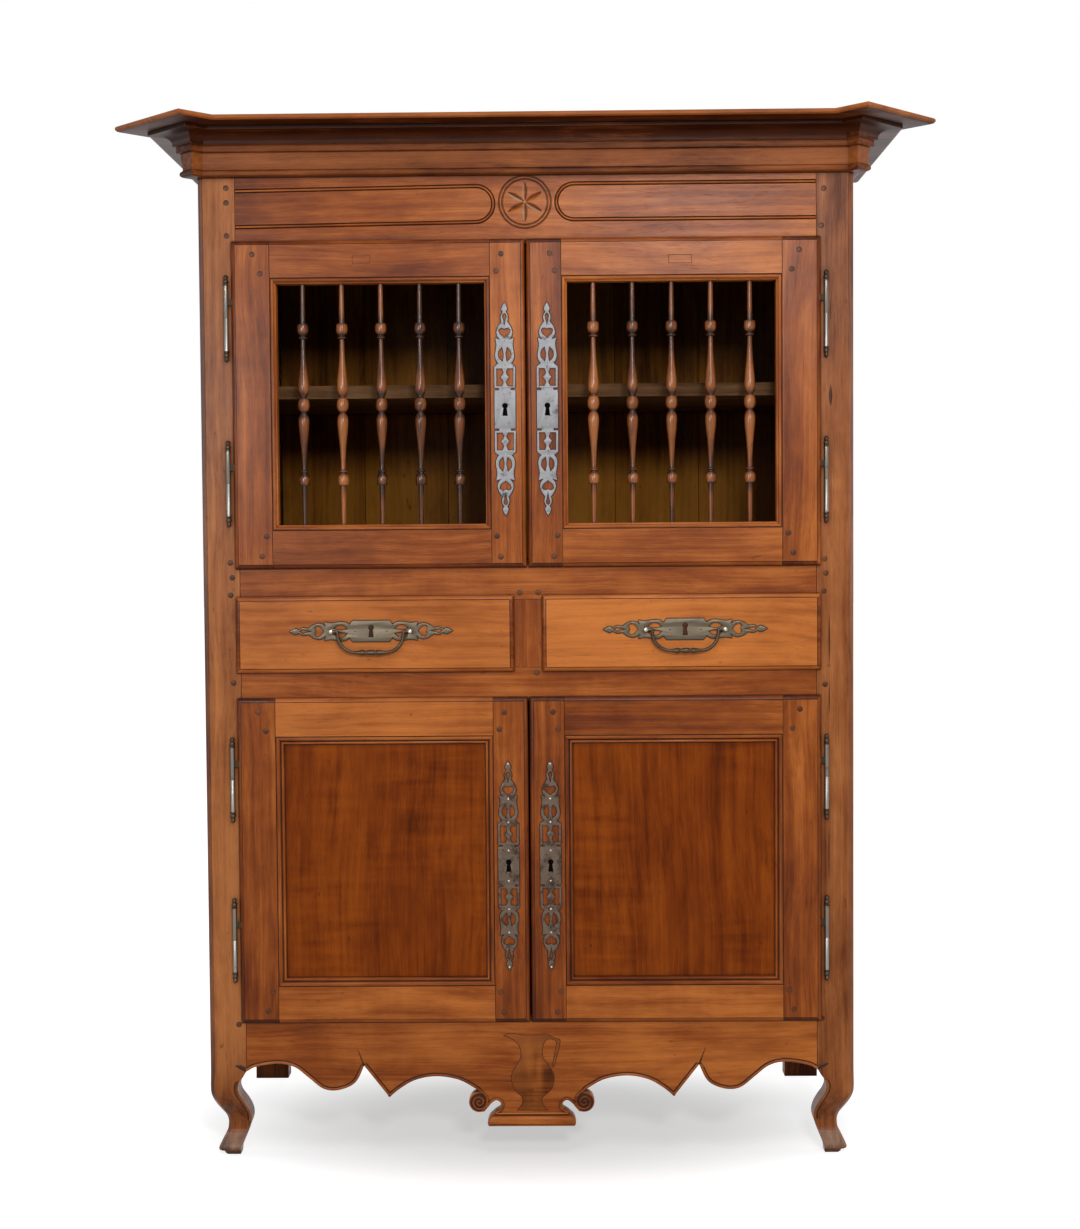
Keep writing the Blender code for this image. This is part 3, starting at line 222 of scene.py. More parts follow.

# %% [markdown]
# The floor is a plain pale sheet. It is white to the camera, and darker only near the cupboard. A sheet lit
# to pure white would lose the cupboard's shadow, so it is grey paper that glows a little by itself: fully at
# a distance, and by half in an oval under the cupboard, which is a painted shadow over the real one.

# %% Floor
FLOOR_HALF = 30.0
FLOOR_GREY = (0.5, 0.5, 0.5)
FLOOR_GLOW_IN_PAINTED_SHADOW = 0.50
PAINTED_SHADOW_FADE = (0.20, 0.62)  # the glow starts to grow at the first distance and is full at the second
PAINTED_SHADOW_STRETCH = (0.62, 1.0, 0.0)  # distances count less across the front, which makes the oval wide

floor_mesh = bpy.data.meshes.new("studio_floor")
corners = [(x * FLOOR_HALF, y * FLOOR_HALF, 0.0) for x, y in ((-1, -1), (1, -1), (1, 1), (-1, 1))]
floor_mesh.from_pydata(corners, [], [(0, 1, 2, 3)])
floor = bpy.data.objects.new("studio_floor", floor_mesh)
scene.collection.objects.link(floor)
sheet = bpy.data.materials.new("studio_floor")
sheet.use_nodes = True
paper = Recipe(sheet.node_tree)
surface = sheet.node_tree.nodes["Principled BSDF"]
paper.feed(surface.inputs["Base Color"], FLOOR_GREY)
paper.feed(surface.inputs["Roughness"], 1.0)
paper.feed(surface.inputs["Specular IOR Level"], 0.0)
spot = paper.node("TexCoord", output="Object")
far = paper.node("VectorMath", {"operation": "LENGTH"}, {0: spot * PAINTED_SHADOW_STRETCH}, "Value")
# Less glow in the oval under the cupboard: a painted shadow.
away = paper.span(far, *PAINTED_SHADOW_FADE)
strength = (FLOOR_GLOW_IN_PAINTED_SHADOW + (1 - FLOOR_GLOW_IN_PAINTED_SHADOW) * away) * only_seen(paper)
glow = paper.node("Emission", {}, {"Strength": strength})
both = paper.node("AddShader", {}, {0: Signal(paper, surface.outputs[0]), 1: glow})
paper.feed(sheet.node_tree.nodes["Material Output"].inputs["Surface"], both)
floor_mesh.materials.append(sheet)
print("floor: a sheet", 2 * FLOOR_HALF, "m wide")

# %% [markdown]
# Old cherry is never one brown. Long streaks and fine fibre run with the grain, growth lines wander across
# it, clouds of darker stain lie over both. Hands have polished the edges pale, and wax and dust have
# settled in the corners; that darkening in corners and narrow cuts also paints in the shade that falls
# there. A picture of wood would do, but numbers give any board its own pattern: every corner of a board
# carries its place along, across and through the grain, and the finish reads that. The three numbers in
# each noise say how often it changes in a metre in those three ways, so a small first number is a long
# streak.


# %% Wood
def grain_of(recipe, along):
    """Grain coordinates: from the board itself, or for a plain solid from its place in the room."""
    if along is None:
        return recipe.node("Attribute", {"attribute_name": "grain"}, output="Vector")
    place = recipe.node("TexCoord", output="Object")
    axes = recipe.node("SeparateXYZ", {}, {0: place})
    order = [along] + [axis for axis in "XYZ" if axis != along]
    return recipe.node("CombineXYZ", {}, {i: axes.out(axis) for i, axis in enumerate(order)})


def wood(
    name, pale, mid, deep, dust_and_shade_colour, wear,
    gloss=0.29, shine=0.13, dust_and_shade=0.85, rubbed=0.45, figure=0.12, along=None,
):
    """Three colours of the wood, one for dust and painted shade in corners and one for worn edges, then how
    dull, shiny, darkened in corners, worn and figured it is; along is the axis of the grain where the piece
    itself doesn't carry it."""
    material = bpy.data.materials.new(name)
    material.use_nodes = True
    recipe = Recipe(material.node_tree)
    shader = material.node_tree.nodes["Principled BSDF"]
    grain = grain_of(recipe, along)
    tone = recipe.node("Attribute", {"attribute_name": "tone"}, output="Fac")
    drift = 0.06 * (recipe.noise(grain * (1.6, 2.5, 2.5)) - 0.5)
    grain = grain + recipe.node("CombineXYZ", {}, {1: drift, 2: drift})
    streak = recipe.noise(grain * (1.1, 17.0, 17.0), 5.0, 0.6)
    line = recipe.noise(grain * (0.7, 95.0, 95.0), 3.0, 0.6)
    fibre = recipe.noise(grain * (14.0, 520.0, 520.0), 3.0, 0.6)
    cloud = recipe.noise(grain * (2.6, 5.5, 5.5), 3.0)
    patch = recipe.noise(grain * (9.0, 26.0, 26.0), 4.0, 0.6)
    ripple = recipe.noise(grain * (46.0, 7.0, 7.0), 2.0) - 0.5
    flame = recipe.span(recipe.noise(grain * (3.0, 4.0, 4.0), 2.0), 0.46, 0.62)
    shade = 0.58 * cloud + 0.46 * patch + 0.52 * streak + 0.50 * line + 0.30 * fibre - 0.68
    shade = shade + figure * ripple * flame + tone
    darkest = tuple(0.4 * d for d in deep)
    palest = tuple(1.7 * p - 0.7 * m for p, m in zip(pale, mid))
    stops = [(0.04, darkest), (0.30, deep), (0.50, mid), (0.74, pale), (0.98, palest)]
    colour = recipe.node("ValToRGB", {"stops": stops}, {0: shade})
    pores = recipe.span(recipe.noise(grain * (38.0, 700.0, 700.0), 1.0), 0.64, 0.74)
    colour = recipe.mix(0.3 * pores, colour, deep)
    stain = recipe.span(recipe.noise(grain * (4.0, 12.0, 12.0), 4.0, 0.65), 0.56, 0.80)
    colour = recipe.mix(0.5 * stain, colour, deep)
    fleck = recipe.span(recipe.noise(grain * (34.0, 60.0, 60.0), 2.0), 0.70, 0.80)
    colour = recipe.mix(0.6 * fleck, colour, deep)
    # Corners and narrow cuts darken towards the dust colour: dust and wax, and painted shade.
    nook = recipe.node("AmbientOcclusion", {"samples": 6}, {"Distance": 0.022}, "AO")
    crack = recipe.node("AmbientOcclusion", {"samples": 6}, {"Distance": 0.0035}, "AO")
    closed = 1 - recipe.span(crack, 0.45, 0.95)
    settled = 0.45 * (1 - recipe.span(nook, 0.35, 0.95)) + 0.9 * closed
    colour = recipe.mix(dust_and_shade * settled, colour, dust_and_shade_colour)
    solid = recipe.node("AmbientOcclusion", {"samples": 6, "inside": True}, {"Distance": 0.0035}, "AO")
    patchy = recipe.span(cloud, 0.34, 0.62)
    rub = (1 - recipe.span(solid, 0.30, 0.75)) * patchy * (1 - closed)
    colour = recipe.mix(rubbed * rub, colour, wear)
    recipe.feed(shader.inputs["Base Color"], colour)
    recipe.feed(shader.inputs["Roughness"], gloss + 0.14 * (1 - streak) + 0.25 * settled - 0.04)
    recipe.feed(shader.inputs["Specular IOR Level"], shine)
    height = 0.5 * fibre + 1.6 * cloud - 0.4 * pores
    bump = recipe.node("Bump", {}, {"Strength": 0.35, "Distance": 0.0006, "Height": height})
    recipe.feed(shader.inputs["Normal"], bump)
    return material


DIRT_AND_SHADE = paint(38, 18, 8)
cherry = wood(
    "cherry_wood",
    paint(190, 108, 46),
    paint(148, 74, 24),
    paint(104, 44, 8),
    DIRT_AND_SHADE,
    paint(196, 120, 62),
)
panel_wood = wood(
    "panel_wood",
    paint(148, 70, 14),
    paint(118, 50, 6),
    paint(78, 28, 3),
    DIRT_AND_SHADE,
    paint(150, 74, 22),
    shine=0.06,
    figure=0.5,
)
dark_wood = wood(
    "dark_wood",
    paint(168, 96, 48),
    paint(134, 72, 34),
    paint(72, 31, 10),
    DIRT_AND_SHADE,
    paint(176, 112, 68),
    gloss=0.36,
    shine=0.07,
)
turned_wood = wood(
    "turned_wood",
    paint(170, 102, 54),
    paint(130, 72, 34),
    paint(66, 35, 18),
    DIRT_AND_SHADE,
    paint(180, 112, 62),
    gloss=0.20,
    shine=0.26,
)
print("woods:", [m.name for m in (cherry, panel_wood, dark_wood, turned_wood)])

# %% [markdown]
# Inside, the boards were never stained or waxed. They are brown from age and smoke, dull, and lighter where
# things have been slid over them. They could be made again board by board, as the outside is, but little of
# them shows. So the plain solids stay, and the grain is read from their place in the room.

# %% Wood inside
SOOT_SHADE_AND_WEAR = (paint(24, 13, 6), paint(150, 108, 56))
INSIDE = (paint(140, 90, 26), paint(108, 64, 14), paint(66, 36, 6), *SOOT_SHADE_AND_WEAR)
FLOOR_BOARD = (paint(166, 110, 36), paint(134, 84, 22), paint(88, 50, 9), *SOOT_SHADE_AND_WEAR)
SHELF_BOARD = (paint(124, 92, 62), paint(98, 68, 42), paint(64, 42, 24), *SOOT_SHADE_AND_WEAR)
DULL = {"gloss": 0.6, "shine": 0.05}
inside_across = wood("inside_wood_across", *INSIDE, **DULL, rubbed=0.3, along="X")
inside_deep = wood("inside_wood_deep", *INSIDE, **DULL, rubbed=0.3, along="Y")
inside_floor = wood("inside_wood_floor", *FLOOR_BOARD, **DULL, along="X")
shelf_wood = wood("shelf_wood", *SHELF_BOARD, **DULL, along="X")
inside_board = wood("inside_wood_board", *INSIDE, **DULL, rubbed=0.3)
INSIDE_FINISH = {
    "upper_shelf": shelf_wood,
    "upper_floor": inside_floor,
    "lower_floor": inside_across,
    "drawer_bed": inside_across,
    "drawer_left_box": inside_deep,
    "drawer_right_box": inside_deep,
}
for solid_name, finish in INSIDE_FINISH.items():
    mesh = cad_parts[solid_name].data
    mesh.materials.clear()
    mesh.materials.append(finish)
print("inside:", len(INSIDE_FINISH), "solids kept and finished")

# %% [markdown]
# The plates were cut from sheet iron and filed by hand. The upper pair is bright and grey, the lower pair
# and the drawer pulls have gone brown. Mottled colour, a slightly uneven face and brighter edges tell that
# it is old metal and not paint. One grey with a rust picture over it would repeat from plate to plate; two
# noises, one coarse and one fine, stain each plate by its place, and the hollows and edges are found by
# looking round.

# %% Iron
IRON_DIRT = paint(34, 24, 18)


def iron(name, face, stain, edge, gloss, stained, hammered=0.5):
    """Colours of the face, its stains and its edges, then how dull, how stained and how uneven it is."""
    material = bpy.data.materials.new(name)
    material.use_nodes = True
    recipe = Recipe(material.node_tree)
    shader = material.node_tree.nodes["Principled BSDF"]
    place = recipe.node("TexCoord", output="Object")
    mottle = recipe.noise(place * 55.0, 5.0, 0.6)
    speck = recipe.noise(place * 420.0, 3.0, 0.6)
    rusty = recipe.span(0.7 * mottle + 0.3 * speck, 0.62 - stained, 0.80 - stained)
    colour = recipe.mix(rusty, face, stain)
    open_sky = recipe.node("AmbientOcclusion", {"samples": 6}, {"Distance": 0.006}, "AO")
    settled = 1 - recipe.span(open_sky, 0.2, 0.8)
    colour = recipe.mix(0.7 * settled, colour, IRON_DIRT)
    solid = recipe.node("AmbientOcclusion", {"samples": 6, "inside": True}, {"Distance": 0.0012}, "AO")
    rub = 1 - recipe.span(solid, 0.3, 0.8)
    colour = recipe.mix(0.85 * rub, colour, edge)
    recipe.feed(shader.inputs["Base Color"], colour)
    recipe.feed(shader.inputs["Metallic"], 1 - 0.5 * rusty)
    recipe.feed(shader.inputs["Roughness"], gloss + 0.3 * rusty + 0.1 * speck)
    recipe.feed(shader.inputs["Specular IOR Level"], 0.3)
    height = mottle + 0.4 * speck
    bump = recipe.node("Bump", {}, {"Strength": hammered, "Distance": 0.0005, "Height": height})
    recipe.feed(shader.inputs["Normal"], bump)
    return material


bright_iron = iron("bright_iron", paint(99, 99, 101), paint(74, 69, 66), paint(168, 168, 170), 0.42, 0.08)
brown_iron = iron("brown_iron", paint(86, 73, 63), paint(56, 41, 32), paint(176, 163, 148), 0.38, 0.16)
hinge_iron = iron(
    "hinge_iron", paint(110, 104, 96), paint(70, 62, 54), paint(166, 158, 148), 0.30, 0.08, 0.2
)
pin_iron = iron("pin_iron", paint(126, 122, 117), paint(88, 80, 72), paint(184, 178, 170), 0.32, 0.06, 0.2)
pull_iron = iron("pull_iron", paint(80, 72, 60), paint(58, 47, 36), paint(150, 136, 118), 0.36, 0.04)
finial_iron = iron("finial_iron", paint(70, 58, 48), paint(40, 30, 24), paint(120, 104, 90), 0.35, 0.1, 0.3)
leaf_iron = iron("leaf_iron", paint(58, 46, 36), paint(40, 30, 23), paint(60, 48, 38), 0.60, 0.1)
nail_iron = iron(
    "nail_iron", paint(168, 158, 146), paint(120, 104, 90), paint(210, 204, 196), 0.25, 0.0, 0.2
)
# Near black, for the sheet behind a keyhole: painted shade.
keyhole_dark = iron("keyhole_dark", paint(10, 8, 7), paint(6, 5, 4), paint(14, 12, 10), 0.8, 0.1)
irons = (bright_iron, brown_iron, hinge_iron, pin_iron, pull_iron, finial_iron, leaf_iron, nail_iron)
print("irons:", [metal.name for metal in irons], "and", keyhole_dark.name)

# %% [markdown]
# Before wood or iron is cut it is marked out: a lath bent past a few nails gives a fair curve, a compass
# gives an arc. Blender's curve objects could draw these lines. Plain rows of points are used here, because
# they can be mirrored, moved and stacked into solids with short sums.


# %% Lines
def smooth_run(points, steps):
    """A smooth line through a row of points of any dimension."""
    row = [Vector(point) for point in points]
    row = [2 * row[0] - row[1], *row, 2 * row[-1] - row[-2]]
    run = []
    for a, b, c, d in zip(row, row[1:], row[2:], row[3:]):
        for i in range(steps):
            t = i / steps
            pull = t * (c - a) / 2
            bend = t * t * (2 * a - 5 * b + 4 * c - d) / 2
            twist = t**3 * (3 * b - a - 3 * c + d) / 2
            run.append(b + pull + bend + twist)
    run.append(row[-2])
    return run


def traced(points, steps, closed=True):
    """An outline through (x, z, kind) points: bent at each "corner", flowing through each "smooth"."""
    count = len(points)
    line = []
    for i in range(count if closed else count - 1):
        b, c = Vector(points[i][:2]), Vector(points[(i + 1) % count][:2])
        square = points[i][2] == "corner", points[(i + 1) % count][2] == "corner"
        a = 2 * b - c if square[0] else Vector(points[i - 1][:2])
        d = 2 * c - b if square[1] else Vector(points[(i + 2) % count][:2])
        line += smooth_run([a, b, c, d], steps)[steps : 2 * steps] if not all(square) else [b]
    return line if closed else [*line, Vector(points[-1][:2])]


def arc(centre, radius, start, end, count):
    """Points on a circle in a plane, angles in degrees, both ends included."""
    turns = [math.radians(start + (end - start) * i / count) for i in range(count + 1)]
    return [(centre[0] + radius * math.cos(a), centre[1] + radius * math.sin(a)) for a in turns]


print("middle of a quarter circle:", [round(c, 3) for c in arc((0, 0), 1.0, 0, 90, 2)[1]])

# %% [markdown]
# Every piece is built on a Bench: it collects closed solids and writes grain coordinates on their corners.
# A board is a skin lofted through rings, a spindle is rings round an axis, a bead is a round section swept
# along a line. Booleans could cut these from blocks, but lofts keep the faces clean for bevels.

# %% Bench
SHARP = math.radians(38)
EDGE = 0.0007
WELD = 0.00001
GRAIN_SHIFT = 4
DEPTH_AXIS = Vector((0, 1, 0))
FACING = Matrix.Rotation(math.pi / 2, 4, "X")  # stands up what was drawn flat, to face the front


class Bench:
    """Solids of one piece. Grain letters are x, y or z: the way the board's fibres run."""

    def __init__(self, name, spread=0.05):
        self.name = name
        self.spread = spread
        self.draw = random.Random(name)
        self.bm = bmesh.new()
        self.grain = self.bm.loops.layers.float_vector.new("grain")
        self.tone = self.bm.loops.layers.float.new("tone")
        self.count = 0
        self.board("x")

    def board(self, along, tone=0.0, finish=0, fade=None):
        """Starts a new board: its own stretch of grain and its own shade, which may fade with place."""
        self.along = along
        self.finish = finish
        self.fade = fade
        self.shift = Vector([self.draw.uniform(-GRAIN_SHIFT, GRAIN_SHIFT) for _ in range(3)])
        self.shade = tone + self.draw.uniform(-self.spread, self.spread)

    def mark(self, faces, along=None):
        """Writes grain, shade and finish on new faces."""
        order = {"x": (0, 2, 1), "y": (1, 2, 0), "z": (2, 0, 1)}[along or self.along]
        for face in faces:
            face.smooth = True
            face.material_index = self.finish
            middle = face.calc_center_median()
            for loop in face.loops:
                loop[self.grain] = Vector([loop.vert.co[axis] for axis in order]) + self.shift
                loop[self.tone] = self.shade + (self.fade(loop.vert.co, middle) if self.fade else 0.0)

    def loft(self, rings, closed=False, grains=None):
        """Skin through rings of points; grains may give a letter for each side of the ring."""
        rows = [[self.bm.verts.new(point) for point in ring] for ring in rings]
        sides = len(rows[0])
        for row, after in zip(rows, rows[1:] + ([rows[0]] if closed else [])):
            for i in range(sides):
                j = (i + 1) % sides
                face = self.bm.faces.new((row[i], row[j], after[j], after[i]))
                self.mark([face], grains[i] if grains else None)
        if not closed:
            self.mark([self.bm.faces.new(rows[0]), self.bm.faces.new(rows[-1])])
        self.count += 1

    def block(self, low, high):
        (x0, y0, z0), (x1, y1, z1) = low, high
        plan = ((x0, y0), (x1, y0), (x1, y1), (x0, y1))
        self.loft([[(x, y, z) for x, y in plan] for z in (z0, z1)])

    def turn(self, profile, place, facets=24):
        """Rings of (radius, height) round the Z axis of a place."""
        angles = [2 * math.pi * i / facets for i in range(facets)]
        circle = [(math.cos(a), math.sin(a)) for a in angles]
        rings = []
        for radius, height in profile:
            rings.append([place @ Vector((radius * c, radius * s, height)) for c, s in circle])
        self.loft(rings)

    def sweep(self, path, radius, sides=10, closed=False, depth=1.0):
        """A round bar along a path that faces the front; radius is one number, or one for each point."""
        path = [Vector(point) for point in path]
        sizes = radius if isinstance(radius, list) else [radius] * len(path)
        angles = [2 * math.pi * k / sides for k in range(sides)]
        last = len(path) - 1
        rings = []
        for i, point in enumerate(path):
            before = path[i - 1] if i or closed else point
            after = path[(i + 1) % len(path)] if i < last or closed else point
            out = (after - before).normalized().cross(DEPTH_AXIS).normalized()
            rise = out.cross(after - before).normalized()
            ring = [point + sizes[i] * (math.cos(a) * out + depth * math.sin(a) * rise) for a in angles]
            rings.append(ring)
        self.loft(rings, closed)

    def plate(self, outlines, front, thickness, rounding):
        """A flat piece facing -Y, cut to outlines of (x, z); the later ones are holes."""
        curve = bpy.data.curves.new(self.name, "CURVE")
        curve.dimensions = "2D"
        curve.fill_mode = "BOTH"
        curve.extrude = thickness / 2 - rounding
        curve.bevel_depth = rounding
        curve.bevel_resolution = 2
        curve.offset = -rounding
        for outline in outlines:
            spline = curve.splines.new("POLY")
            spline.points.add(len(outline) - 1)
            spline.use_cyclic_u = True
            for knot, (x, z) in zip(spline.points, outline):
                knot.co = (x, z, 0, 1)
        guide = bpy.data.objects.new(self.name, curve)
        scene.collection.objects.link(guide)
        graph = bpy.context.evaluated_depsgraph_get()
        mesh = bpy.data.meshes.new_from_object(guide.evaluated_get(graph))
        bpy.data.objects.remove(guide)
        bpy.data.curves.remove(curve)
        mesh.transform(Matrix.Translation((0, front + thickness / 2, 0)) @ FACING)
        known = set(self.bm.faces)
        self.bm.from_mesh(mesh)
        bpy.data.meshes.remove(mesh)
        fresh = [face for face in self.bm.faces if face not in known]
        corners = {vert for face in fresh for vert in face.verts}
        bmesh.ops.remove_doubles(self.bm, verts=list(corners), dist=WELD)
        self.mark([face for face in self.bm.faces if face not in known])
        self.count += 1

    def piece(self, body, finishes, nodes=(), bevel=EDGE):
        """The finished piece, riding on its body and standing for the solids it replaces."""
        bmesh.ops.recalc_face_normals(self.bm, faces=self.bm.faces)
        mesh = bpy.data.meshes.new(self.name)
        self.bm.to_mesh(mesh)
        self.bm.free()
        mesh.set_sharp_from_angle(angle=SHARP)
        obj = bpy.data.objects.new(self.name, mesh)
        scene.collection.objects.link(obj)
        for finish in finishes:
            mesh.materials.append(finish)
        if bevel:
            soften = obj.modifiers.new("worn edges", "BEVEL")
            soften.width = bevel
            soften.segments = 2
            soften.limit_method = "ANGLE"
            soften.angle_limit = SHARP
            soften.harden_normals = True
        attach(obj, body)
        if nodes:
            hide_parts(*nodes)
        print(self.name, "on", body, "-", self.count, "solids")
        return obj


print("bench ready: worn edges are", EDGE, "m wide")

# %% [markdown]
# These are the cupboard's own sizes, the same that its solids were made to: the heights of each storey, the
# face of the posts and the thickness of its rails. They could be read back from the solids' boxes, but
# written out in one place they can be held against the real thing with a rule.

# %% Sizes
FIT_GAP = 0.0003
HALF_BODY = 0.650
HALF_OPENING = 0.575
RAIL_REACH = HALF_OPENING - FIT_GAP
FRONT = -0.224854
BACK = 0.385146
RAIL_THICKNESS = 0.026
POST_WIDTH = 0.075
POST_DEPTH = 0.060
POST_CHAMFER = 0.011
BACK_POST_DEPTH = 0.045
Z_LOWER = 0.286
Z_LOWER_TOP = 0.925
Z_DRAWER = 0.992
Z_DRAWER_TOP = 1.128
Z_UPPER = 1.200
Z_UPPER_TOP = 1.833
Z_CORNICE = 1.967
Z_TOP_BOARD = 2.057
CARCASS_TOP = Z_TOP_BOARD - FIT_GAP
print("front face at y =", round(FRONT, 4), "top of the carcass at z =", CARCASS_TOP)

# %% [markdown]
# Each front post and its leg are one stick: straight with a chamfered corner above, sawn to an S and
# rounded below, ending in a scroll toe on a small pad. Two sawn outlines could cut it from a block. Here
# the stations say how far the leg leans in and how wide it is at each height, and a smooth line through
# them gives the S.

# %% Front posts
SIDES = {"left": -1, "right": 1}
LEG_STATIONS = (  # height, lean under the cupboard, width
    (0.180, 0.0000, 0.0750),
    (0.166, 0.0000, 0.0672),
    (0.156, 0.0000, 0.0595),
    (0.143, 0.0000, 0.0560),
    (0.129, 0.0012, 0.0586),
    (0.112, 0.0075, 0.0613),
    (0.096, 0.0170, 0.0585),
    (0.081, 0.0262, 0.0525),
    (0.068, 0.0302, 0.0478),
    (0.054, 0.0298, 0.0434),
    (0.045, 0.0267, 0.0437),
    (0.031, 0.0195, 0.0450),
    (0.017, 0.0132, 0.0458),
    (0.011, 0.0138, 0.0440),
)
LEG_PAD = ((0.0100, 0.0200, 0.0375), (0.0090, 0.0210, 0.0365), (0.0000, 0.0262, 0.0300))
LEG_DARK = {"left": 0.44, "right": 0.06}
LEG_DARK_FROM, LEG_DARK_FULL = 0.30, 0.10
POST_TONE = {"left": 0.14, "right": 0.03}
POST_PALE = {"left": 0.12, "right": 0.02}  # how much paler it is below
POST_PALE_FROM, POST_PALE_FULL = 1.50, 1.10
# Painted shade on the chamfered corner, deepest on the left.
CHAMFER_PAINTED_SHADE = {"left": -0.30, "right": -0.06}
TOE = (0.0105, 0.046)  # lowest and highest point of the toe's flat
TOE_DEPTH = 0.034
POST_EDGE = 0.0018
# The posts' wood is greyer than the doors' cherry: partly its own colour, partly a painted sheen.
post_wood = wood(
    "post_wood",
    paint(184, 114, 64),
    paint(144, 82, 42),
    paint(94, 42, 12),
    DIRT_AND_SHADE,
    paint(200, 136, 84),
    shine=0.10,
    rubbed=0.65,
)
# Paler, greyer wood for the toe's flat: partly wear, partly a painted highlight where it faces the lamp
# above.
toe_wood = wood(
    "toe_wood",
    paint(178, 134, 104),
    paint(144, 104, 78),
    paint(100, 66, 46),
    DIRT_AND_SHADE,
    paint(178, 138, 110),
    rubbed=0.6,
)


def part_way(value, start, end):
    """How far a value has come from start to end, 0 to 1."""
    return min(1.0, max(0.0, (value - start) / (end - start)))


def leg_fade(word):
    """Darker down the leg; painted shade on the chamfered corner, most on the left, away from the lamps."""

    def fade(point, middle):
        down = part_way(point.z, LEG_DARK_FROM, LEG_DARK_FULL)
        pale = part_way(point.z, POST_PALE_FROM, POST_PALE_FULL)
        corner = abs(middle.x) > HALF_BODY - POST_CHAMFER and middle.z > LEG_DARK_FULL
        return POST_PALE[word] * pale - LEG_DARK[word] * down + (CHAMFER_PAINTED_SHADE[word] if corner else 0.0)

    return fade


def post_ring(side, height, lean, width):
    """Section of a post, with its chamfered outer corner."""
    outer = HALF_BODY - lean
    front = FRONT + lean
    depth = POST_DEPTH * width / POST_WIDTH
    chamfer = POST_CHAMFER * width / POST_WIDTH
    inner = outer - width
    plan = (
        (inner, front),
        (outer - chamfer, front),
        (outer, front + chamfer),
        (outer, front + depth),
        (inner, front + depth),
    )
    return [(side * x, y, height) for x, y in plan]


leg_line = [tuple(station) for station in smooth_run(LEG_STATIONS, 4)]
for word, side in SIDES.items():
    bench = Bench(f"post_and_leg_{word}")
    bench.board("z", tone=POST_TONE[word], fade=leg_fade(word))
    heights = (CARCASS_TOP, POST_PALE_FROM, POST_PALE_FULL, LEG_DARK_FROM)
    rings = [post_ring(side, height, 0.0, POST_WIDTH) for height in heights]
    rings += [post_ring(side, *station) for station in [*leg_line, *LEG_PAD]]
    bench.loft(rings)
    # Faces of the toe's flat take the paler wood: wear and painted highlight.
    for face in bench.bm.faces:
        middle = face.calc_center_median()
        if TOE[0] < middle.z < TOE[1] and middle.y < FRONT + TOE_DEPTH:
            face.material_index = 1
    bench.piece("carcass", [post_wood, toe_wood], [f"front_post_{word}"], bevel=POST_EDGE)

# %% [markdown]
# The back posts are plain square sticks in darker wood. Only their feet show from the front. They have no
# shape to loft, so a block with softened edges is all they need.

# %% Back posts
BACK_POST_TONE = -0.12
BACK_POST_EDGE = 0.0012
for word, side in SIDES.items():
    bench = Bench(f"back_stick_{word}")
    bench.board("z", tone=BACK_POST_TONE)
    xs = sorted((side * HALF_OPENING, side * HALF_BODY))
    bench.block((xs[0], BACK - BACK_POST_DEPTH, 0), (xs[1], BACK, CARCASS_TOP))
    bench.piece("carcass", [dark_wood], [f"back_post_{word}"], bevel=BACK_POST_EDGE)

# %% [markdown]
# Two plain rails and a short upright frame the drawers. Tenons join them to the posts, but these don't
# show, and the boards between are planed flat. So each is a block with softened edges and a stretch of
# grain of its own: along for the rails, upright for the piece between the drawers.

# %% Drawer rails
HALF_MUNTIN = 0.036
MUNTIN_TONE = -0.06
DRAWER_RAILS = ((Z_DRAWER_TOP, Z_UPPER, 0.07), (Z_LOWER_TOP, Z_DRAWER, 0.03))  # foot, top, shade
bench = Bench("drawer_rails")
for low, high, tone in DRAWER_RAILS:
    bench.board("x", tone)
    bench.block((-RAIL_REACH, FRONT, low), (RAIL_REACH, FRONT + RAIL_THICKNESS, high))
bench.board("z", MUNTIN_TONE)
muntin_low, muntin_high = Z_DRAWER + FIT_GAP, Z_DRAWER_TOP - FIT_GAP
bench.block((-HALF_MUNTIN, FRONT, muntin_low), (HALF_MUNTIN, FRONT + RAIL_THICKNESS, muntin_high))
bench.piece(
    "carcass", [cherry], ["rail_above_drawers", "rail_below_drawers", "drawer_muntin"]
)

# %% [markdown]
# The frieze carries the carving: a rosette of six leaves in two rings, and a long cartouche on each side,
# open at the posts. Carving can be painted on as a bump, but then it has no shadow of its own. So the lines
# that the gouge followed are drawn first: a groove bent round at one end, and leaves that are V-cuts,
# pointed at both ends, with a painted highlight on the side towards the light and painted shade on the other.

# %% Carving lines
CARTOUCHE_Z = Z_UPPER_TOP + 0.081
CARTOUCHE_HALF = 0.0353
CARTOUCHE_END = 0.0624
PETALS = 6
PETAL_STEPS = 12
PETAL_START = -0.0005
PETAL_LENGTH = 0.0415
PETAL_HALF = 0.0054
PETAL_DEPTH = 0.0036
PETAL_FULLNESS = (0.9, 0.7)  # of the width and of the depth: less than 1 is blunter at the ends
CUT_PROUD = 0.002  # how far a leaf's cutter stands out of the face
PLAIN, SHADED_CUT, LIT = 0, 1, 2  # places in the frieze's list of finishes
# The way the painted light comes from, for the lit and shaded sides of the leaves.
PAINTED_LIGHT_WAY = (0.75, 0.66)  # to the right and up, as seen from the front
PAINTED_LIT_LIMIT = 0.5
CARTOUCHE_SAG = {-1: (0.003, 0.012), 1: (0.0, 0.0)}  # the left one was cut lower, and sinks to the post


def cartouche(side, past):
    """Middle of a cartouche's groove, which runs so far past the end of the board."""
    bend = arc((CARTOUCHE_END + CARTOUCHE_HALF, CARTOUCHE_Z), CARTOUCHE_HALF, 90, 270, 28)
    end = RAIL_REACH + past
    line = [(end, CARTOUCHE_Z + CARTOUCHE_HALF), *bend, (end, CARTOUCHE_Z - CARTOUCHE_HALF)]
    drop, slope = CARTOUCHE_SAG[side]
    return [(side * x, z - drop - slope * (x - CARTOUCHE_END)) for x, z in line]


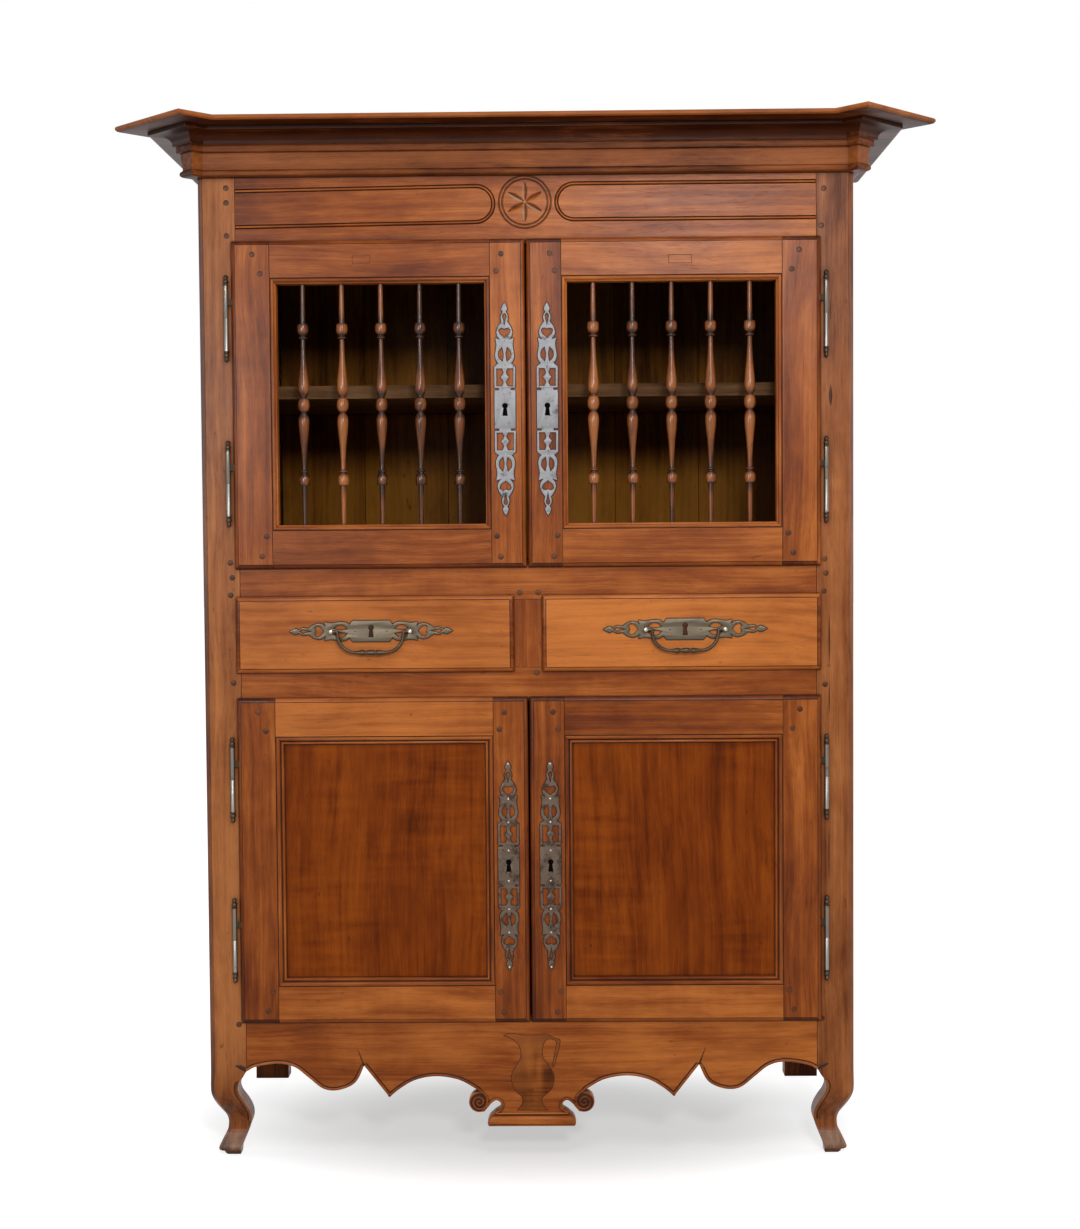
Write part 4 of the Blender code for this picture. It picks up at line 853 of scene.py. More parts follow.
def petal(turn):
    """A V-cut leaf, pointed at both ends, as rings of its section."""
    rings = []
    for i in range(1, PETAL_STEPS):
        share = i / PETAL_STEPS
        wide = PETAL_HALF * math.sin(math.pi * share) ** PETAL_FULLNESS[0]
        deep = PETAL_DEPTH * math.sin(math.pi * share) ** PETAL_FULLNESS[1]
        along = PETAL_START + PETAL_LENGTH * share
        section = ((-wide, -CUT_PROUD), (wide, -CUT_PROUD), (wide, 0.0), (0.0, deep), (-wide, 0.0))
        ring = []
        for out, depth in section:
            x = along * math.sin(turn) + out * math.cos(turn)
            z = along * math.cos(turn) - out * math.sin(turn)
            ring.append((x, FRONT + depth, CARTOUCHE_Z + z))
        rings.append(ring)
    return rings


def petal_light_and_shade(face, turn):
    """A V-cut face's finish: painted highlight towards the light, painted shade on the other side."""
    middle = face.calc_center_median()
    out = middle.x * math.cos(turn) - (middle.z - CARTOUCHE_Z) * math.sin(turn)
    facing = PAINTED_LIGHT_WAY[0] * math.cos(turn) - PAINTED_LIGHT_WAY[1] * math.sin(turn)
    facing = facing if out < 0 else -facing
    if facing > PAINTED_LIT_LIMIT:
        return LIT
    return PLAIN if facing > 0 else SHADED_CUT


print("carving lines:", PETALS, "leaves, and", len(cartouche(1, 0.0)), "points along a cartouche")

# %% [markdown]
# A carver cuts these lines into the finished board, so here one Boolean cuts them too: round bars swept
# along the grooves, and the leaves. Faces could be pushed in one by one, but a Boolean leaves the crisp
# rims of a sharp gouge. The cutters share the board's grain, so that it runs on through the cuts.

# %% Frieze
GROOVE_RADIUS = 0.0056
GROOVE_LIFT = 0.0034
GROOVE_PAST = 0.02
GROOVE_SIDES = 32
ROSETTE_RINGS = (0.0515, 0.0450)
RING_GROOVE = 0.0021
RING_LIFT = 0.0002
RING_STEPS = 64
RING_SIDES = 28
CARVED_SHARP = math.radians(14)
# The rise to the right is painted light.
FRIEZE_TONE_AND_LIGHT = (-0.01, 0.07)  # in the middle, and how much more at the right end


def frieze_light_fade(point, middle):
    """Paler towards the right end: painted light from the lamp on the right."""
    return FRIEZE_TONE_AND_LIGHT[0] + FRIEZE_TONE_AND_LIGHT[1] * point.x / RAIL_REACH


# Darker wood for the faces of every cut: dust, and painted shade in the grooves and shaded leaf sides.
carved_wood = wood(
    "carved_wood",
    paint(150, 84, 38),
    paint(108, 54, 21),
    paint(60, 27, 9),
    DIRT_AND_SHADE,
    paint(190, 118, 62),
    rubbed=0.5,
)
# Paler wood for the lit side of each leaf: a painted highlight.
lit_wood = wood(
    "lit_wood",
    paint(192, 150, 122),
    paint(166, 122, 94),
    paint(118, 78, 54),
    DIRT_AND_SHADE,
    paint(200, 160, 132),
    shine=0.12,
    rubbed=0.7,
)
gouge = Bench("frieze_cuts")
gouge.board("x", finish=SHADED_CUT, fade=frieze_light_fade)
bench = Bench("frieze_board")
bench.board("x", fade=frieze_light_fade)
gouge.shift, gouge.shade = bench.shift, bench.shade
bench.block((-RAIL_REACH, FRONT, Z_UPPER_TOP), (RAIL_REACH, FRONT + RAIL_THICKNESS, CARCASS_TOP))
for side in SIDES.values():
    line = cartouche(side, GROOVE_PAST)
    gouge.sweep([(x, FRONT - GROOVE_LIFT, z) for x, z in line], GROOVE_RADIUS, GROOVE_SIDES)
for radius in ROSETTE_RINGS:
    circle = arc((0, CARTOUCHE_Z), radius, 0, 360, RING_STEPS)[:-1]
    gouge.sweep([(x, FRONT - RING_LIFT, z) for x, z in circle], RING_GROOVE, RING_SIDES, closed=True)
for i in range(PETALS):
    turn = 2 * math.pi * i / PETALS
    first = len(gouge.bm.faces)
    gouge.loft(petal(turn))
    gouge.bm.faces.ensure_lookup_table()
    for face in gouge.bm.faces[first:]:
        face.material_index = petal_light_and_shade(face, turn)
carving = [cherry, carved_wood, lit_wood]
frieze = bench.piece("carcass", carving, ["frieze_rail"], bevel=0)
cuts = gouge.piece("carcass", carving, bevel=0)
carve = frieze.modifiers.new("carving", "BOOLEAN")
carve.operation = "DIFFERENCE"
carve.object = cuts
bpy.context.view_layer.update()
carved = bpy.data.meshes.new_from_object(frieze.evaluated_get(bpy.context.evaluated_depsgraph_get()))
frieze.modifiers.clear()
frieze.data = carved
carved.set_sharp_from_angle(angle=CARVED_SHARP)
bpy.data.objects.remove(cuts)
print("frieze carved:", len(carved.polygons), "faces")

# %% [markdown]
# In the groove of each cartouche the carver left a thin bead standing. It could be part of the cutter's own
# section, but a round bar laid in the groove shows the same line and is simpler to make.

# %% Cartouche beads
BEAD_RADIUS = 0.0021
BEAD_SINK = 0.0010
BEAD_SHORT = 0.001
bench = Bench("cartouche_beads")
for side in SIDES.values():
    bench.board("x")
    line = cartouche(side, -BEAD_SHORT)
    bench.sweep([(x, FRONT + BEAD_SINK, z) for x, z in line], BEAD_RADIUS, 10)
bench.piece("carcass", [cherry], bevel=0)

# %% [markdown]
# The apron under the lower doors is sawn to scallops, pendants and two volutes, and stands on a small
# centre foot. Its outline is one flowing line with a few sharp notches, so it is drawn as points marked
# smooth or corner and cut from one board.

# %% Apron
VOLUTE_X = 0.106
VOLUTE_Z = Z_LOWER - 0.1728
VOLUTE_RADIUS = 0.0206
VOLUTE_SWEEP = (93, -150)  # degrees, from the last scallop round to the centre foot
VOLUTE_STEPS = 10
APRON_END = Z_LOWER - 0.108
APRON_STEPS = 7
APRON_EDGE = 0.0008
# The rise to the right is painted light.
APRON_TONE_AND_LIGHT = (0.10, 0.11)  # in the middle, and how much more at the right end
SCALLOPS = (  # share of the way from the volute to the post, drop below the apron's top, kind
    (0.956, 0.0985, "smooth"),
    (0.858, 0.0925, "smooth"),
    (0.784, 0.1000, "smooth"),
    (0.722, 0.1212, "smooth"),
    (0.660, 0.1431, "smooth"),
    (0.602, 0.1478, "smooth"),
    (0.541, 0.1404, "smooth"),
    (0.502, 0.1265, "smooth"),
    (0.471, 0.0974, "corner"),
    (0.358, 0.1616, "corner"),
    (0.306, 0.1431, "smooth"),
    (0.238, 0.1265, "smooth"),
    (0.146, 0.1195, "smooth"),
    (0.047, 0.1265, "smooth"),
    (-0.026, 0.1439, "smooth"),
)
CENTRE_FOOT = (  # out from the middle, drop below the apron's top, kind
    (0.0812, 0.1748, "smooth"),
    (0.0715, 0.1690, "smooth"),
    (0.0632, 0.1738, "smooth"),
    (0.0622, 0.1838, "smooth"),
    (0.0747, 0.1930, "corner"),
    (0.0850, 0.2030, "smooth"),
    (0.0892, 0.2150, "smooth"),
    (0.0868, 0.2210, "corner"),
)
start = VOLUTE_X + VOLUTE_RADIUS
run = RAIL_REACH - start
scallops = [(start + share * run, Z_LOWER - drop, kind) for share, drop, kind in SCALLOPS]
bend = arc((VOLUTE_X, VOLUTE_Z), VOLUTE_RADIUS, *VOLUTE_SWEEP, VOLUTE_STEPS)
volute = [(*bend[0], "corner")] + [(x, z, "smooth") for x, z in bend[1:]]
centre_foot = [(x, Z_LOWER - drop, kind) for x, drop, kind in CENTRE_FOOT]
edge_points = [(RAIL_REACH, APRON_END, "corner"), *scallops, *volute, *centre_foot]
edge_line = [tuple(point) for point in traced(edge_points, APRON_STEPS, closed=False)]
left_line = [(-x, z) for x, z in edge_line]
outline = [(-RAIL_REACH, Z_LOWER), *left_line, *reversed(edge_line), (RAIL_REACH, Z_LOWER)]


def apron_light_fade(point, middle):
    """Paler towards the right end: painted light from the lamp on the right."""
    return APRON_TONE_AND_LIGHT[0] + APRON_TONE_AND_LIGHT[1] * point.x / RAIL_REACH


bench = Bench("apron_board")
bench.board("x", fade=apron_light_fade)
bench.plate([outline], FRONT, RAIL_THICKNESS, APRON_EDGE)
bench.piece("carcass", [cherry], ["apron_rail"], bevel=0)

# %% [markdown]
# A small bead is carved along the apron's edge. It follows every scallop, turns over a bud on the post and
# runs down the inside of the leg; a rolled ridge winds into each volute. A bead could be cut into the
# board, but a thin round bar let half into the face reads the same and keeps the board whole. A thin dark
# line inside the bead and down the leg, and a dark disc under each volute's ridge, are painted shade.

# %% Apron beads
RIM_IN = 0.0028
RIM_RADIUS = 0.0028
RIM_LIFT = 0.0004
RIM_TONE = 0.04
RIM_SHADE_LINE_IN = 0.0066
RIM_SHADE_LINE = 0.0010
RIM_SHADE_LINE_STOP = 2  # points left out before each corner
MARK_DEPTH = 0.35
SPIRAL_STEPS = 72
SPIRAL_SWEEP = (95, 770)  # degrees: start, and how far it winds
SPIRAL_RADIUS = (0.0178, 0.0166)  # at the start, and how much it loses
SPIRAL_FLARE = (0.0050, 6)  # more at the very start, gone after a sixth of the way
SPIRAL_LIFT = 0.0002
SPIRAL_SIZE = (0.0025, 0.0010)  # at the start, and how much it loses
VOLUTE_SHADE_IN = 0.0024
VOLUTE_SHADE_LIFT = 0.0004
SLIP_THICKNESS = 0.0012
SLIP_EDGE = 0.0001
NOTCH_LINE = ((0.3505, 0.2226, 0.0005), (0.3450, 0.2080, 0.0011), (0.3388, 0.1910, 0.0018))  # x, z, radius
POST_BUD = ((0.5752, 0.1785, 0.0034), (0.5850, 0.1855, 0.0044), (0.5975, 0.1895, 0.0014))
LEG_BEAD = 0.0022
LEG_BEAD_IN = 0.0030
LEG_BEAD_TONE = -0.12
LEG_SHADE_LINE_IN = 0.0074
KNEE_STATIONS = LEG_STATIONS[2:9]


def drawn_in(line, distance):
    """The same line, moved to its upper side."""
    points = [Vector(point) for point in line]
    inward = []
    for i, point in enumerate(points):
        before, after = points[max(i - 1, 0)], points[min(i + 1, len(points) - 1)]
        way = (after - before).normalized()
        inward.append(point + distance * Vector((way.y, -way.x)))
    return inward


def split_at(points, steps):
    """Runs of an outline from corner to corner."""
    runs, run = [], [points[0]]
    for point in points[1:]:
        run.append(point)
        if point[2] == "corner":
            runs.append(traced(run, steps, closed=False))
            run = [point]
    return runs


def scored(bench, side, marks):
    """A dark tapering mark on the face."""
    path = smooth_run(marks, 4)
    places = [(side * x, FRONT, z) for x, z, radius in path]
    bench.sweep(places, [radius for x, z, radius in path], 8, depth=MARK_DEPTH)


def ridge(share):
    """Place and thickness of the ridge that winds into a volute, at a share of its length."""
    flare = SPIRAL_FLARE[0] * max(0.0, 1 - SPIRAL_FLARE[1] * share) ** 2
    radius = SPIRAL_RADIUS[0] - SPIRAL_RADIUS[1] * share + flare
    angle = math.radians(SPIRAL_SWEEP[0] + SPIRAL_SWEEP[1] * share)
    place = (VOLUTE_X + radius * math.cos(angle), VOLUTE_Z + radius * math.sin(angle))
    return *place, SPIRAL_SIZE[0] - SPIRAL_SIZE[1] * share


# Dark brown for inlaid, scored and jointed lines, and for dark marks that are painted shade.
inlay_line = wood(
    "inlay_line", paint(86, 46, 22), paint(66, 34, 15), paint(44, 22, 9), DIRT_AND_SHADE, paint(90, 52, 28), rubbed=0.1
)
bench = Bench("apron_beads")
rim = split_at(edge_points, APRON_STEPS)[:3]
rim.append(traced([*volute[-2:], *centre_foot[:5]], APRON_STEPS, closed=False))
spiral = [ridge(i / SPIRAL_STEPS) for i in range(SPIRAL_STEPS + 1)]
knee = [(HALF_BODY - lean - width, FRONT + lean, height) for height, lean, width in KNEE_STATIONS]
knee = smooth_run(knee, 3)
for side in SIDES.values():
    bench.board("x", tone=RIM_TONE)
    for run in rim:
        path = drawn_in(run, RIM_IN)
        bench.sweep([(side * x, FRONT - RIM_LIFT, z) for x, z in path], RIM_RADIUS, 10)
    path = [(side * x, FRONT - SPIRAL_LIFT, z) for x, z, size in spiral]
    bench.sweep(path, [size for x, z, size in spiral], 10)
    # Dark lines beside the beads and a dark disc under each ridge: painted shade.
    bench.board("x", finish=1)
    for run in rim[:3]:
        path = drawn_in(run, RIM_SHADE_LINE_IN)
        path = path[RIM_SHADE_LINE_STOP:-RIM_SHADE_LINE_STOP] if len(path) > 4 * RIM_SHADE_LINE_STOP else path
        bench.sweep([(side * x, FRONT, z) for x, z in path], RIM_SHADE_LINE, 6, depth=MARK_DEPTH)
    volute_shade = arc((side * VOLUTE_X, VOLUTE_Z), VOLUTE_RADIUS - VOLUTE_SHADE_IN, 0, 360, 40)[:-1]
    bench.plate([volute_shade], FRONT - VOLUTE_SHADE_LIFT, SLIP_THICKNESS, SLIP_EDGE)
    scored(bench, side, NOTCH_LINE)
    scored(bench, side, POST_BUD)
    bench.sweep([(side * (x + LEG_SHADE_LINE_IN), y, z) for x, y, z in knee], RIM_SHADE_LINE, 8, depth=MARK_DEPTH)
    bench.board("z", tone=LEG_BEAD_TONE)
    bench.sweep([(side * (x + LEG_BEAD_IN), y, z) for x, y, z in knee], LEG_BEAD, 10)
bench.piece("carcass", [cherry, inlay_line], bevel=0)

# %% [markdown]
# Under the centre foot lies a rounded bar with a bead over it, a little proud of the apron. It could be cut
# with the apron as one board, but it stands forward of it, so it is a plate of its own with a wide round
# edge.

# %% Centre foot
FOOT_LOW = Z_LOWER - 0.221
FOOT_BAR = (  # out from the middle, up from the foot's lower edge
    (0.0868, 0.0000),
    (0.0888, 0.0040),
    (0.0880, 0.0100),
    (0.0852, 0.0165),
    (0.0805, 0.0212),
)
FOOT_PROUD = 0.009
FOOT_SINK = 0.004
FOOT_EDGE = 0.006
FOOT_TONE = 0.08
FOOT_BEAD = 0.0026
FOOT_BEAD_RISE = 0.0248
FOOT_BEAD_RUN = (-0.073, -0.04, 0, 0.04, 0.073)
bench = Bench("centre_foot_bar")
bench.board("x", tone=FOOT_TONE)
right = [(x, FOOT_LOW + rise) for x, rise in FOOT_BAR]
bar = right + [(-x, z) for x, z in reversed(right)]
bench.plate([bar], FRONT - FOOT_PROUD, FOOT_PROUD + FOOT_SINK, FOOT_EDGE)
bench.sweep([(x, FRONT, FOOT_LOW + FOOT_BEAD_RISE) for x in FOOT_BEAD_RUN], FOOT_BEAD, 10)
bench.piece("carcass", [cherry], bevel=0)

# %% [markdown]
# A jug is let into the middle of the apron, in darker wood with a black line round it: the sign of a
# cupboard for food. It could be painted by the finish, but its edge would blur close up. Inlay is cut with
# a fret saw, so it is two thin plates, the larger one showing as the line.

# %% Inlaid jug
JUG = (
    (-0.0570, 0.2484, "corner"),
    (-0.0450, 0.2533, "smooth"),
    (-0.0255, 0.2523, "smooth"),
    (-0.0170, 0.2504, "smooth"),
    (0.0150, 0.2504, "smooth"),
    (0.0280, 0.2524, "smooth"),
    (0.0468, 0.2444, "smooth"),
    (0.0580, 0.2404, "smooth"),
    (0.0580, 0.2292, "smooth"),
    (0.0528, 0.2085, "smooth"),
    (0.0448, 0.1826, "corner"),
    (0.0403, 0.1846, "corner"),
    (0.0474, 0.2151, "smooth"),
    (0.0492, 0.2364, "smooth"),
    (0.0349, 0.2408, "smooth"),
    (0.0261, 0.2328, "smooth"),
    (0.0225, 0.2151, "smooth"),
    (0.0261, 0.2005, "smooth"),
    (0.0403, 0.1812, "smooth"),
    (0.0464, 0.1617, "smooth"),
    (0.0403, 0.1387, "smooth"),
    (0.0261, 0.1260, "smooth"),
    (0.0207, 0.1172, "smooth"),
    (0.0261, 0.1049, "smooth"),
    (0.0349, 0.0959, "corner"),
    (-0.0309, 0.0959, "corner"),
    (-0.0201, 0.1100, "smooth"),
    (-0.0201, 0.1228, "smooth"),
    (-0.0345, 0.1387, "smooth"),
    (-0.0416, 0.1617, "smooth"),
    (-0.0363, 0.1794, "smooth"),
    (-0.0237, 0.2005, "smooth"),
    (-0.0219, 0.2151, "smooth"),
    (-0.0255, 0.2274, "smooth"),
    (-0.0380, 0.2404, "smooth"),
)
inlay_wood = wood(
    "inlay_wood",
    paint(164, 92, 38),
    paint(124, 64, 24),
    paint(74, 33, 9),
    DIRT_AND_SHADE,
    paint(150, 88, 46),
    shine=0.08,
    dust_and_shade=0.5,
    figure=0.9,
)
JUG_LINE = 0.0013
JUG_LINE_LIFT = 0.0002
JUG_LIFT = 0.0005
JUG_EDGE = 0.0002
JUG_TONE = 0.12
bench = Bench("inlaid_jug")
jug_line = [tuple(point) for point in traced(JUG, 5)]
bench.board("x", finish=1)
bench.plate([jug_line], FRONT - JUG_LINE_LIFT, SLIP_THICKNESS, SLIP_EDGE)
bench.board("x", tone=JUG_TONE, finish=0)
inner_line = [tuple(point) for point in drawn_in(jug_line + jug_line[:1], JUG_LINE)[:-1]]
bench.plate([inner_line], FRONT - JUG_LIFT, SLIP_THICKNESS, JUG_EDGE)
bench.piece("carcass", [inlay_wood, inlay_line], bevel=0)

# %% [markdown]
# Each side is a frame with two sunk panels, so that the wide wood can swell without splitting. One block
# with two hollows would have the shape, but its grain would run one way. So the boards are made one by one,
# the grain turns at the joints, and a small moulding runs round each panel.

# %% Sides
SIDE_FACE = HALF_BODY - 0.003
SIDE_BACK_FACE = SIDE_FACE - 0.026
SIDE_FOOT = 0.200
SIDE_RAIL = 0.085
SIDE_STILE = 0.060
SIDE_Y = (FRONT + POST_DEPTH + FIT_GAP, BACK - BACK_POST_DEPTH - FIT_GAP)
SIDE_PANELS = ((SIDE_FOOT + SIDE_RAIL, Z_DRAWER), (Z_DRAWER + SIDE_RAIL, Z_CORNICE - SIDE_RAIL))
SIDE_RAILS = (
    (SIDE_FOOT, SIDE_PANELS[0][0]),
    (Z_DRAWER, SIDE_PANELS[1][0]),
    (SIDE_PANELS[1][1], CARCASS_TOP),
)
SIDE_PANEL_SINK = 0.0084
SIDE_MOULDING = (  # in from the frame, down from its face
    (0.0000, 0.0000),
    (0.0012, 0.0015),
    (0.0040, 0.0022),
    (0.0075, 0.0045),
    (0.0100, 0.0078),
    (0.0120, 0.0082),
)
SIDE_MOULDING_BACK = 0.0100


def side_ring(side, spans, sink, inset=0.0):
    """Corners of a rectangle between y0, y1, z0 and z1 on one side, drawn in all round by the inset."""
    y0, y1, z0, z1 = spans
    y0, y1, z0, z1 = y0 + inset, y1 - inset, z0 + inset, z1 - inset
    return [(side * (SIDE_FACE - sink), y, z) for y, z in ((y0, z0), (y1, z0), (y1, z1), (y0, z1))]


def side_board(bench, side, along, spans, sink=0.0):
    bench.board(along)
    bench.loft([side_ring(side, spans, depth) for depth in (SIDE_FACE - SIDE_BACK_FACE, sink)])


inner = (SIDE_Y[0] + SIDE_STILE, SIDE_Y[1] - SIDE_STILE)
for word, side in SIDES.items():
    bench = Bench(f"side_{word}")
    side_board(bench, side, "z", (SIDE_Y[0], inner[0], SIDE_FOOT, CARCASS_TOP))
    side_board(bench, side, "z", (inner[1], SIDE_Y[1], SIDE_FOOT, CARCASS_TOP))
    for rail in SIDE_RAILS:
        side_board(bench, side, "y", (*inner, *rail))
    for panel in SIDE_PANELS:
        spans = (*inner, *panel)
        side_board(bench, side, "z", spans, SIDE_PANEL_SINK)
        bench.board("z")
        rings = [side_ring(side, spans, sink, inset) for inset, sink in SIDE_MOULDING]
        rings.append(side_ring(side, spans, SIDE_MOULDING_BACK, SIDE_MOULDING[-1][0]))
        rings.append(side_ring(side, spans, SIDE_MOULDING_BACK))
        bench.loft(rings, closed=True, grains="yzyz")
    bench.piece("carcass", [cherry], [f"side_frame_{word}"])

# %% [markdown]
# The back is six upright boards, put in side by side. Nobody stained them: inside they have the brown of
# the other inside boards, and the face to the wall has gone grey and dry. One sheet would do from afar, but
# the joints and the change of grain from board to board show through the spindles.

# %% Back
BACK_BOARDS = 6
BACK_OUTSIDE = BACK - 0.010
BACK_INSIDE = BACK_OUTSIDE - 0.016
BACK_MIDDLE = BACK_OUTSIDE - 0.014
BACK_BANDS = (SIDE_FOOT, Z_UPPER, 1.22, 1.37, 1.46, CARCASS_TOP)
BACK_PAINTED_LIGHT = (1.21, 1.38)  # paler band above the upper cupboard's floor: painted light from the front lamp
BACK_LIGHT_LIFT = (0.20, 0.40)  # on the left, on the right
BACK_SPREAD = 0.09
BACK_SKIN = 0.001
BACK_EDGE = 0.0016


def back_painted_light_band(point, middle):
    """A paler band above the upper cupboard's floor, on the inside only: painted light from the front lamp.
    """
    lit = BACK_PAINTED_LIGHT[0] < point.z < BACK_PAINTED_LIGHT[1] and middle.y < BACK_MIDDLE
    return BACK_LIGHT_LIFT[int(middle.x > 0)] if lit else 0.0


back_wood = wood(
    "back_wood",
    paint(150, 108, 68),
    paint(120, 82, 50),
    paint(80, 52, 30),
    *SOOT_SHADE_AND_WEAR,
    gloss=0.62,
    shine=0.05,
    rubbed=0.3,
)
bench = Bench("back_planks", spread=BACK_SPREAD)
pitch = 2 * RAIL_REACH / BACK_BOARDS
for i in range(BACK_BOARDS):
    bench.board("z", fade=back_painted_light_band)
    x0 = -RAIL_REACH + i * pitch
    plan = ((x0, BACK_INSIDE), (x0 + pitch, BACK_INSIDE), (x0 + pitch, BACK_OUTSIDE), (x0, BACK_OUTSIDE))
    bench.loft([[(x, y, z) for x, y in plan] for z in BACK_BANDS])
for face in bench.bm.faces:
    if face.calc_center_median().y > BACK_OUTSIDE - BACK_SKIN:
        face.material_index = 1
bench.piece("carcass", [inside_board, back_wood], ["back_boards"], bevel=BACK_EDGE)

# %% [markdown]
# The cornice steps out from the posts through a bead, a flat, a fillet and a deep cove, and breaks forward
# at each corner into a small canted block. Lengths of moulding could be made and cut to mitres. Carrying
# one profile round the whole plan is easier, because every line then mitres by itself.

# %% Cornice
CORNER_JOG = 0.0118
CORNER_SIDE_STEP = 0.003
CORNICE_HEIGHT = Z_TOP_BOARD - Z_CORNICE
CORNICE_FOOT = ((0.0100, 0.000), (0.0140, 0.0025), (0.0152, 0.0060), (0.0145, 0.0105), (0.0105, 0.0135))
CORNICE_FLAT = ((0.0105, 0.017), (0.0135, 0.046), (0.0195, 0.048), (0.0195, 0.059), (0.0245, 0.061))
COVE_START = (0.0245, 0.064)
COVE_END = (0.0505, 0.083)
COVE_STEPS = 8
CORNICE_FILLET = 0.059
# The band in the cove is painted shade.
CORNICE_SHADES = ((0.014, 0.046, 0.08), (0.0605, 0.0875, -0.34))  # from, to, shade
CORNICE_TONE = -0.10
CORNICE_LEFT_SHADE = -0.2
CORNICE_EDGE = 0.0006


def cornice_plan(reach):
    """Right half of the plan, from the front round to the back."""
    out = math.sqrt(2) * reach
    draw_in = (math.sqrt(2) - 1) * reach
    corner = HALF_BODY + CORNER_SIDE_STEP
    return [
        (corner - CORNER_JOG - draw_in, FRONT - reach),
        (corner, FRONT - CORNER_JOG - out),
        (HALF_BODY + CORNER_JOG + out, FRONT - CORNER_SIDE_STEP),
        (HALF_BODY + reach, FRONT + CORNER_JOG - CORNER_SIDE_STEP + draw_in),
        (HALF_BODY + reach, BACK),
    ]


def cornice_seat():
    """The hidden face, which lies on the posts and round their chamfers."""
    edge = HALF_BODY + FIT_GAP
    front = FRONT - FIT_GAP
    near, far = POST_CHAMFER, 2 * POST_CHAMFER
    return [
        (edge - far, front),
        (edge - near, front),
        (edge, front + near),
        (edge, front + far),
        (edge, BACK),
    ]


def whole_plan(half):
    return [(-x, y) for x, y in reversed(half)] + list(half)


cove = []
for i in range(COVE_STEPS + 1):
    angle = math.pi / 2 * i / COVE_STEPS
    reach = COVE_END[0] - (COVE_END[0] - COVE_START[0]) * math.cos(angle)
    cove.append((reach, COVE_START[1] + (COVE_END[1] - COVE_START[1]) * math.sin(angle)))
fillet = [(CORNICE_FILLET, height) for height in (COVE_END[1], CORNICE_HEIGHT)]
profile = [*CORNICE_FOOT, *CORNICE_FLAT, *cove, *fillet]
layers = [(cornice_seat(), 0.0)] + [(cornice_plan(reach), height) for reach, height in profile]
layers.append((cornice_seat(), CORNICE_HEIGHT))
rows = [[(x, y, Z_CORNICE - FIT_GAP + z) for x, y in whole_plan(plan)] for plan, z in layers]


def cornice_fade(point, middle):
    """Painted shade in the cove under the top board, and on the left end, away from the lamps."""
    height = middle.z - Z_CORNICE
    shade = CORNICE_TONE
    for low, high, change in CORNICE_SHADES:
        if low < height < high:
            shade = change
    return shade + (CORNICE_LEFT_SHADE if middle.x < -HALF_BODY else 0.0)


bench = Bench("cornice")
bench.board("x", fade=cornice_fade)
bench.loft([[row[i] for row in rows] for i in range(len(rows[0]))])
bench.piece("carcass", [dark_wood], ["cornice_moulding"], bevel=CORNICE_EDGE)

# %% [markdown]
# A board with a worn front edge lies on top and throws the cove into shade. It follows the same plan as the
# moulding, so it is a stack of that plan at a few reaches: drawn back below, rounded, and flat on top.

# %% Cornice top board
TOP_REACH = 0.105
TOP_LAYERS = (  # drawn back from the full reach, height
    (0.0080, 0.0000),
    (0.0030, 0.0016),
    (0.0000, 0.0050),
    (0.0000, 0.0095),
    (0.0025, 0.0120),
)
TOP_TONE = 0.18
TOP_UNDERSIDE_SHADE = -0.42
TOP_SKIN = 0.001
TOP_EDGE = 0.0012


def top_fade(point, middle):
    """The underside is darker: painted shade under the overhang."""
    return TOP_UNDERSIDE_SHADE if middle.z < Z_TOP_BOARD + TOP_SKIN else 0.0


bench = Bench("cornice_board")
bench.board("x", tone=TOP_TONE, fade=top_fade)
plans = [(whole_plan(cornice_plan(TOP_REACH - back)), height) for back, height in TOP_LAYERS]
bench.loft([[(x, y, Z_TOP_BOARD + height) for x, y in plan] for plan, height in plans])
bench.piece("carcass", [dark_wood], ["cornice_top_board"], bevel=TOP_EDGE)

# %% [markdown]
# Doors and drawers close against the frame with a lip: a rounded edge that laps over the opening, with a
# small step up to the face. Every board of a door has that lip only on its outer edges. A board is
# therefore a loft from back to front in which each edge is told how to draw in: as a lip, as a meeting
# edge, or cut square.

# %% Lipped boards
LIP = 0.008
LIP_PROUD = 0.012
LIP_EDGE = 0.004
LIP_ROUND = 0.0085
LIP_STEP = 0.0015
LIP_QUIRK = 0.0008
DOOR_BODY = 0.018
DOOR_CLEARANCE = 0.002
MEETING_RELIEF = 0.0006
DOOR_FACE = FRONT - LIP_PROUD
LIP_SHADE = -0.13
LIP_END_SHADE = -0.36
LIP_STEPS = 6


def lip_layers(body):
    """From back to front: draw of a lip, draw of a meeting edge, y."""
    layers = [(LIP + DOOR_CLEARANCE, MEETING_RELIEF, y) for y in (FRONT + body, FRONT - FIT_GAP)]
    layers += [(0.0, 0.0, FRONT - FIT_GAP), (0.0, 0.0, FRONT - LIP_EDGE)]
    rise = LIP_PROUD - LIP_EDGE - LIP_STEP
    for i in range(1, LIP_STEPS + 1):
        angle = math.pi / 2 * i / LIP_STEPS
        inset = (LIP_ROUND - LIP_QUIRK) * (1 - math.cos(angle))
        layers.append((inset, inset, FRONT - LIP_EDGE - rise * math.sin(angle)))
    quirk = DOOR_FACE + LIP_STEP + LIP_QUIRK
    layers += [(LIP_ROUND - LIP_QUIRK, LIP_ROUND - LIP_QUIRK, quirk), (LIP_ROUND, LIP_ROUND, quirk)]
    return [*layers, (LIP_ROUND, LIP_ROUND, DOOR_FACE)]


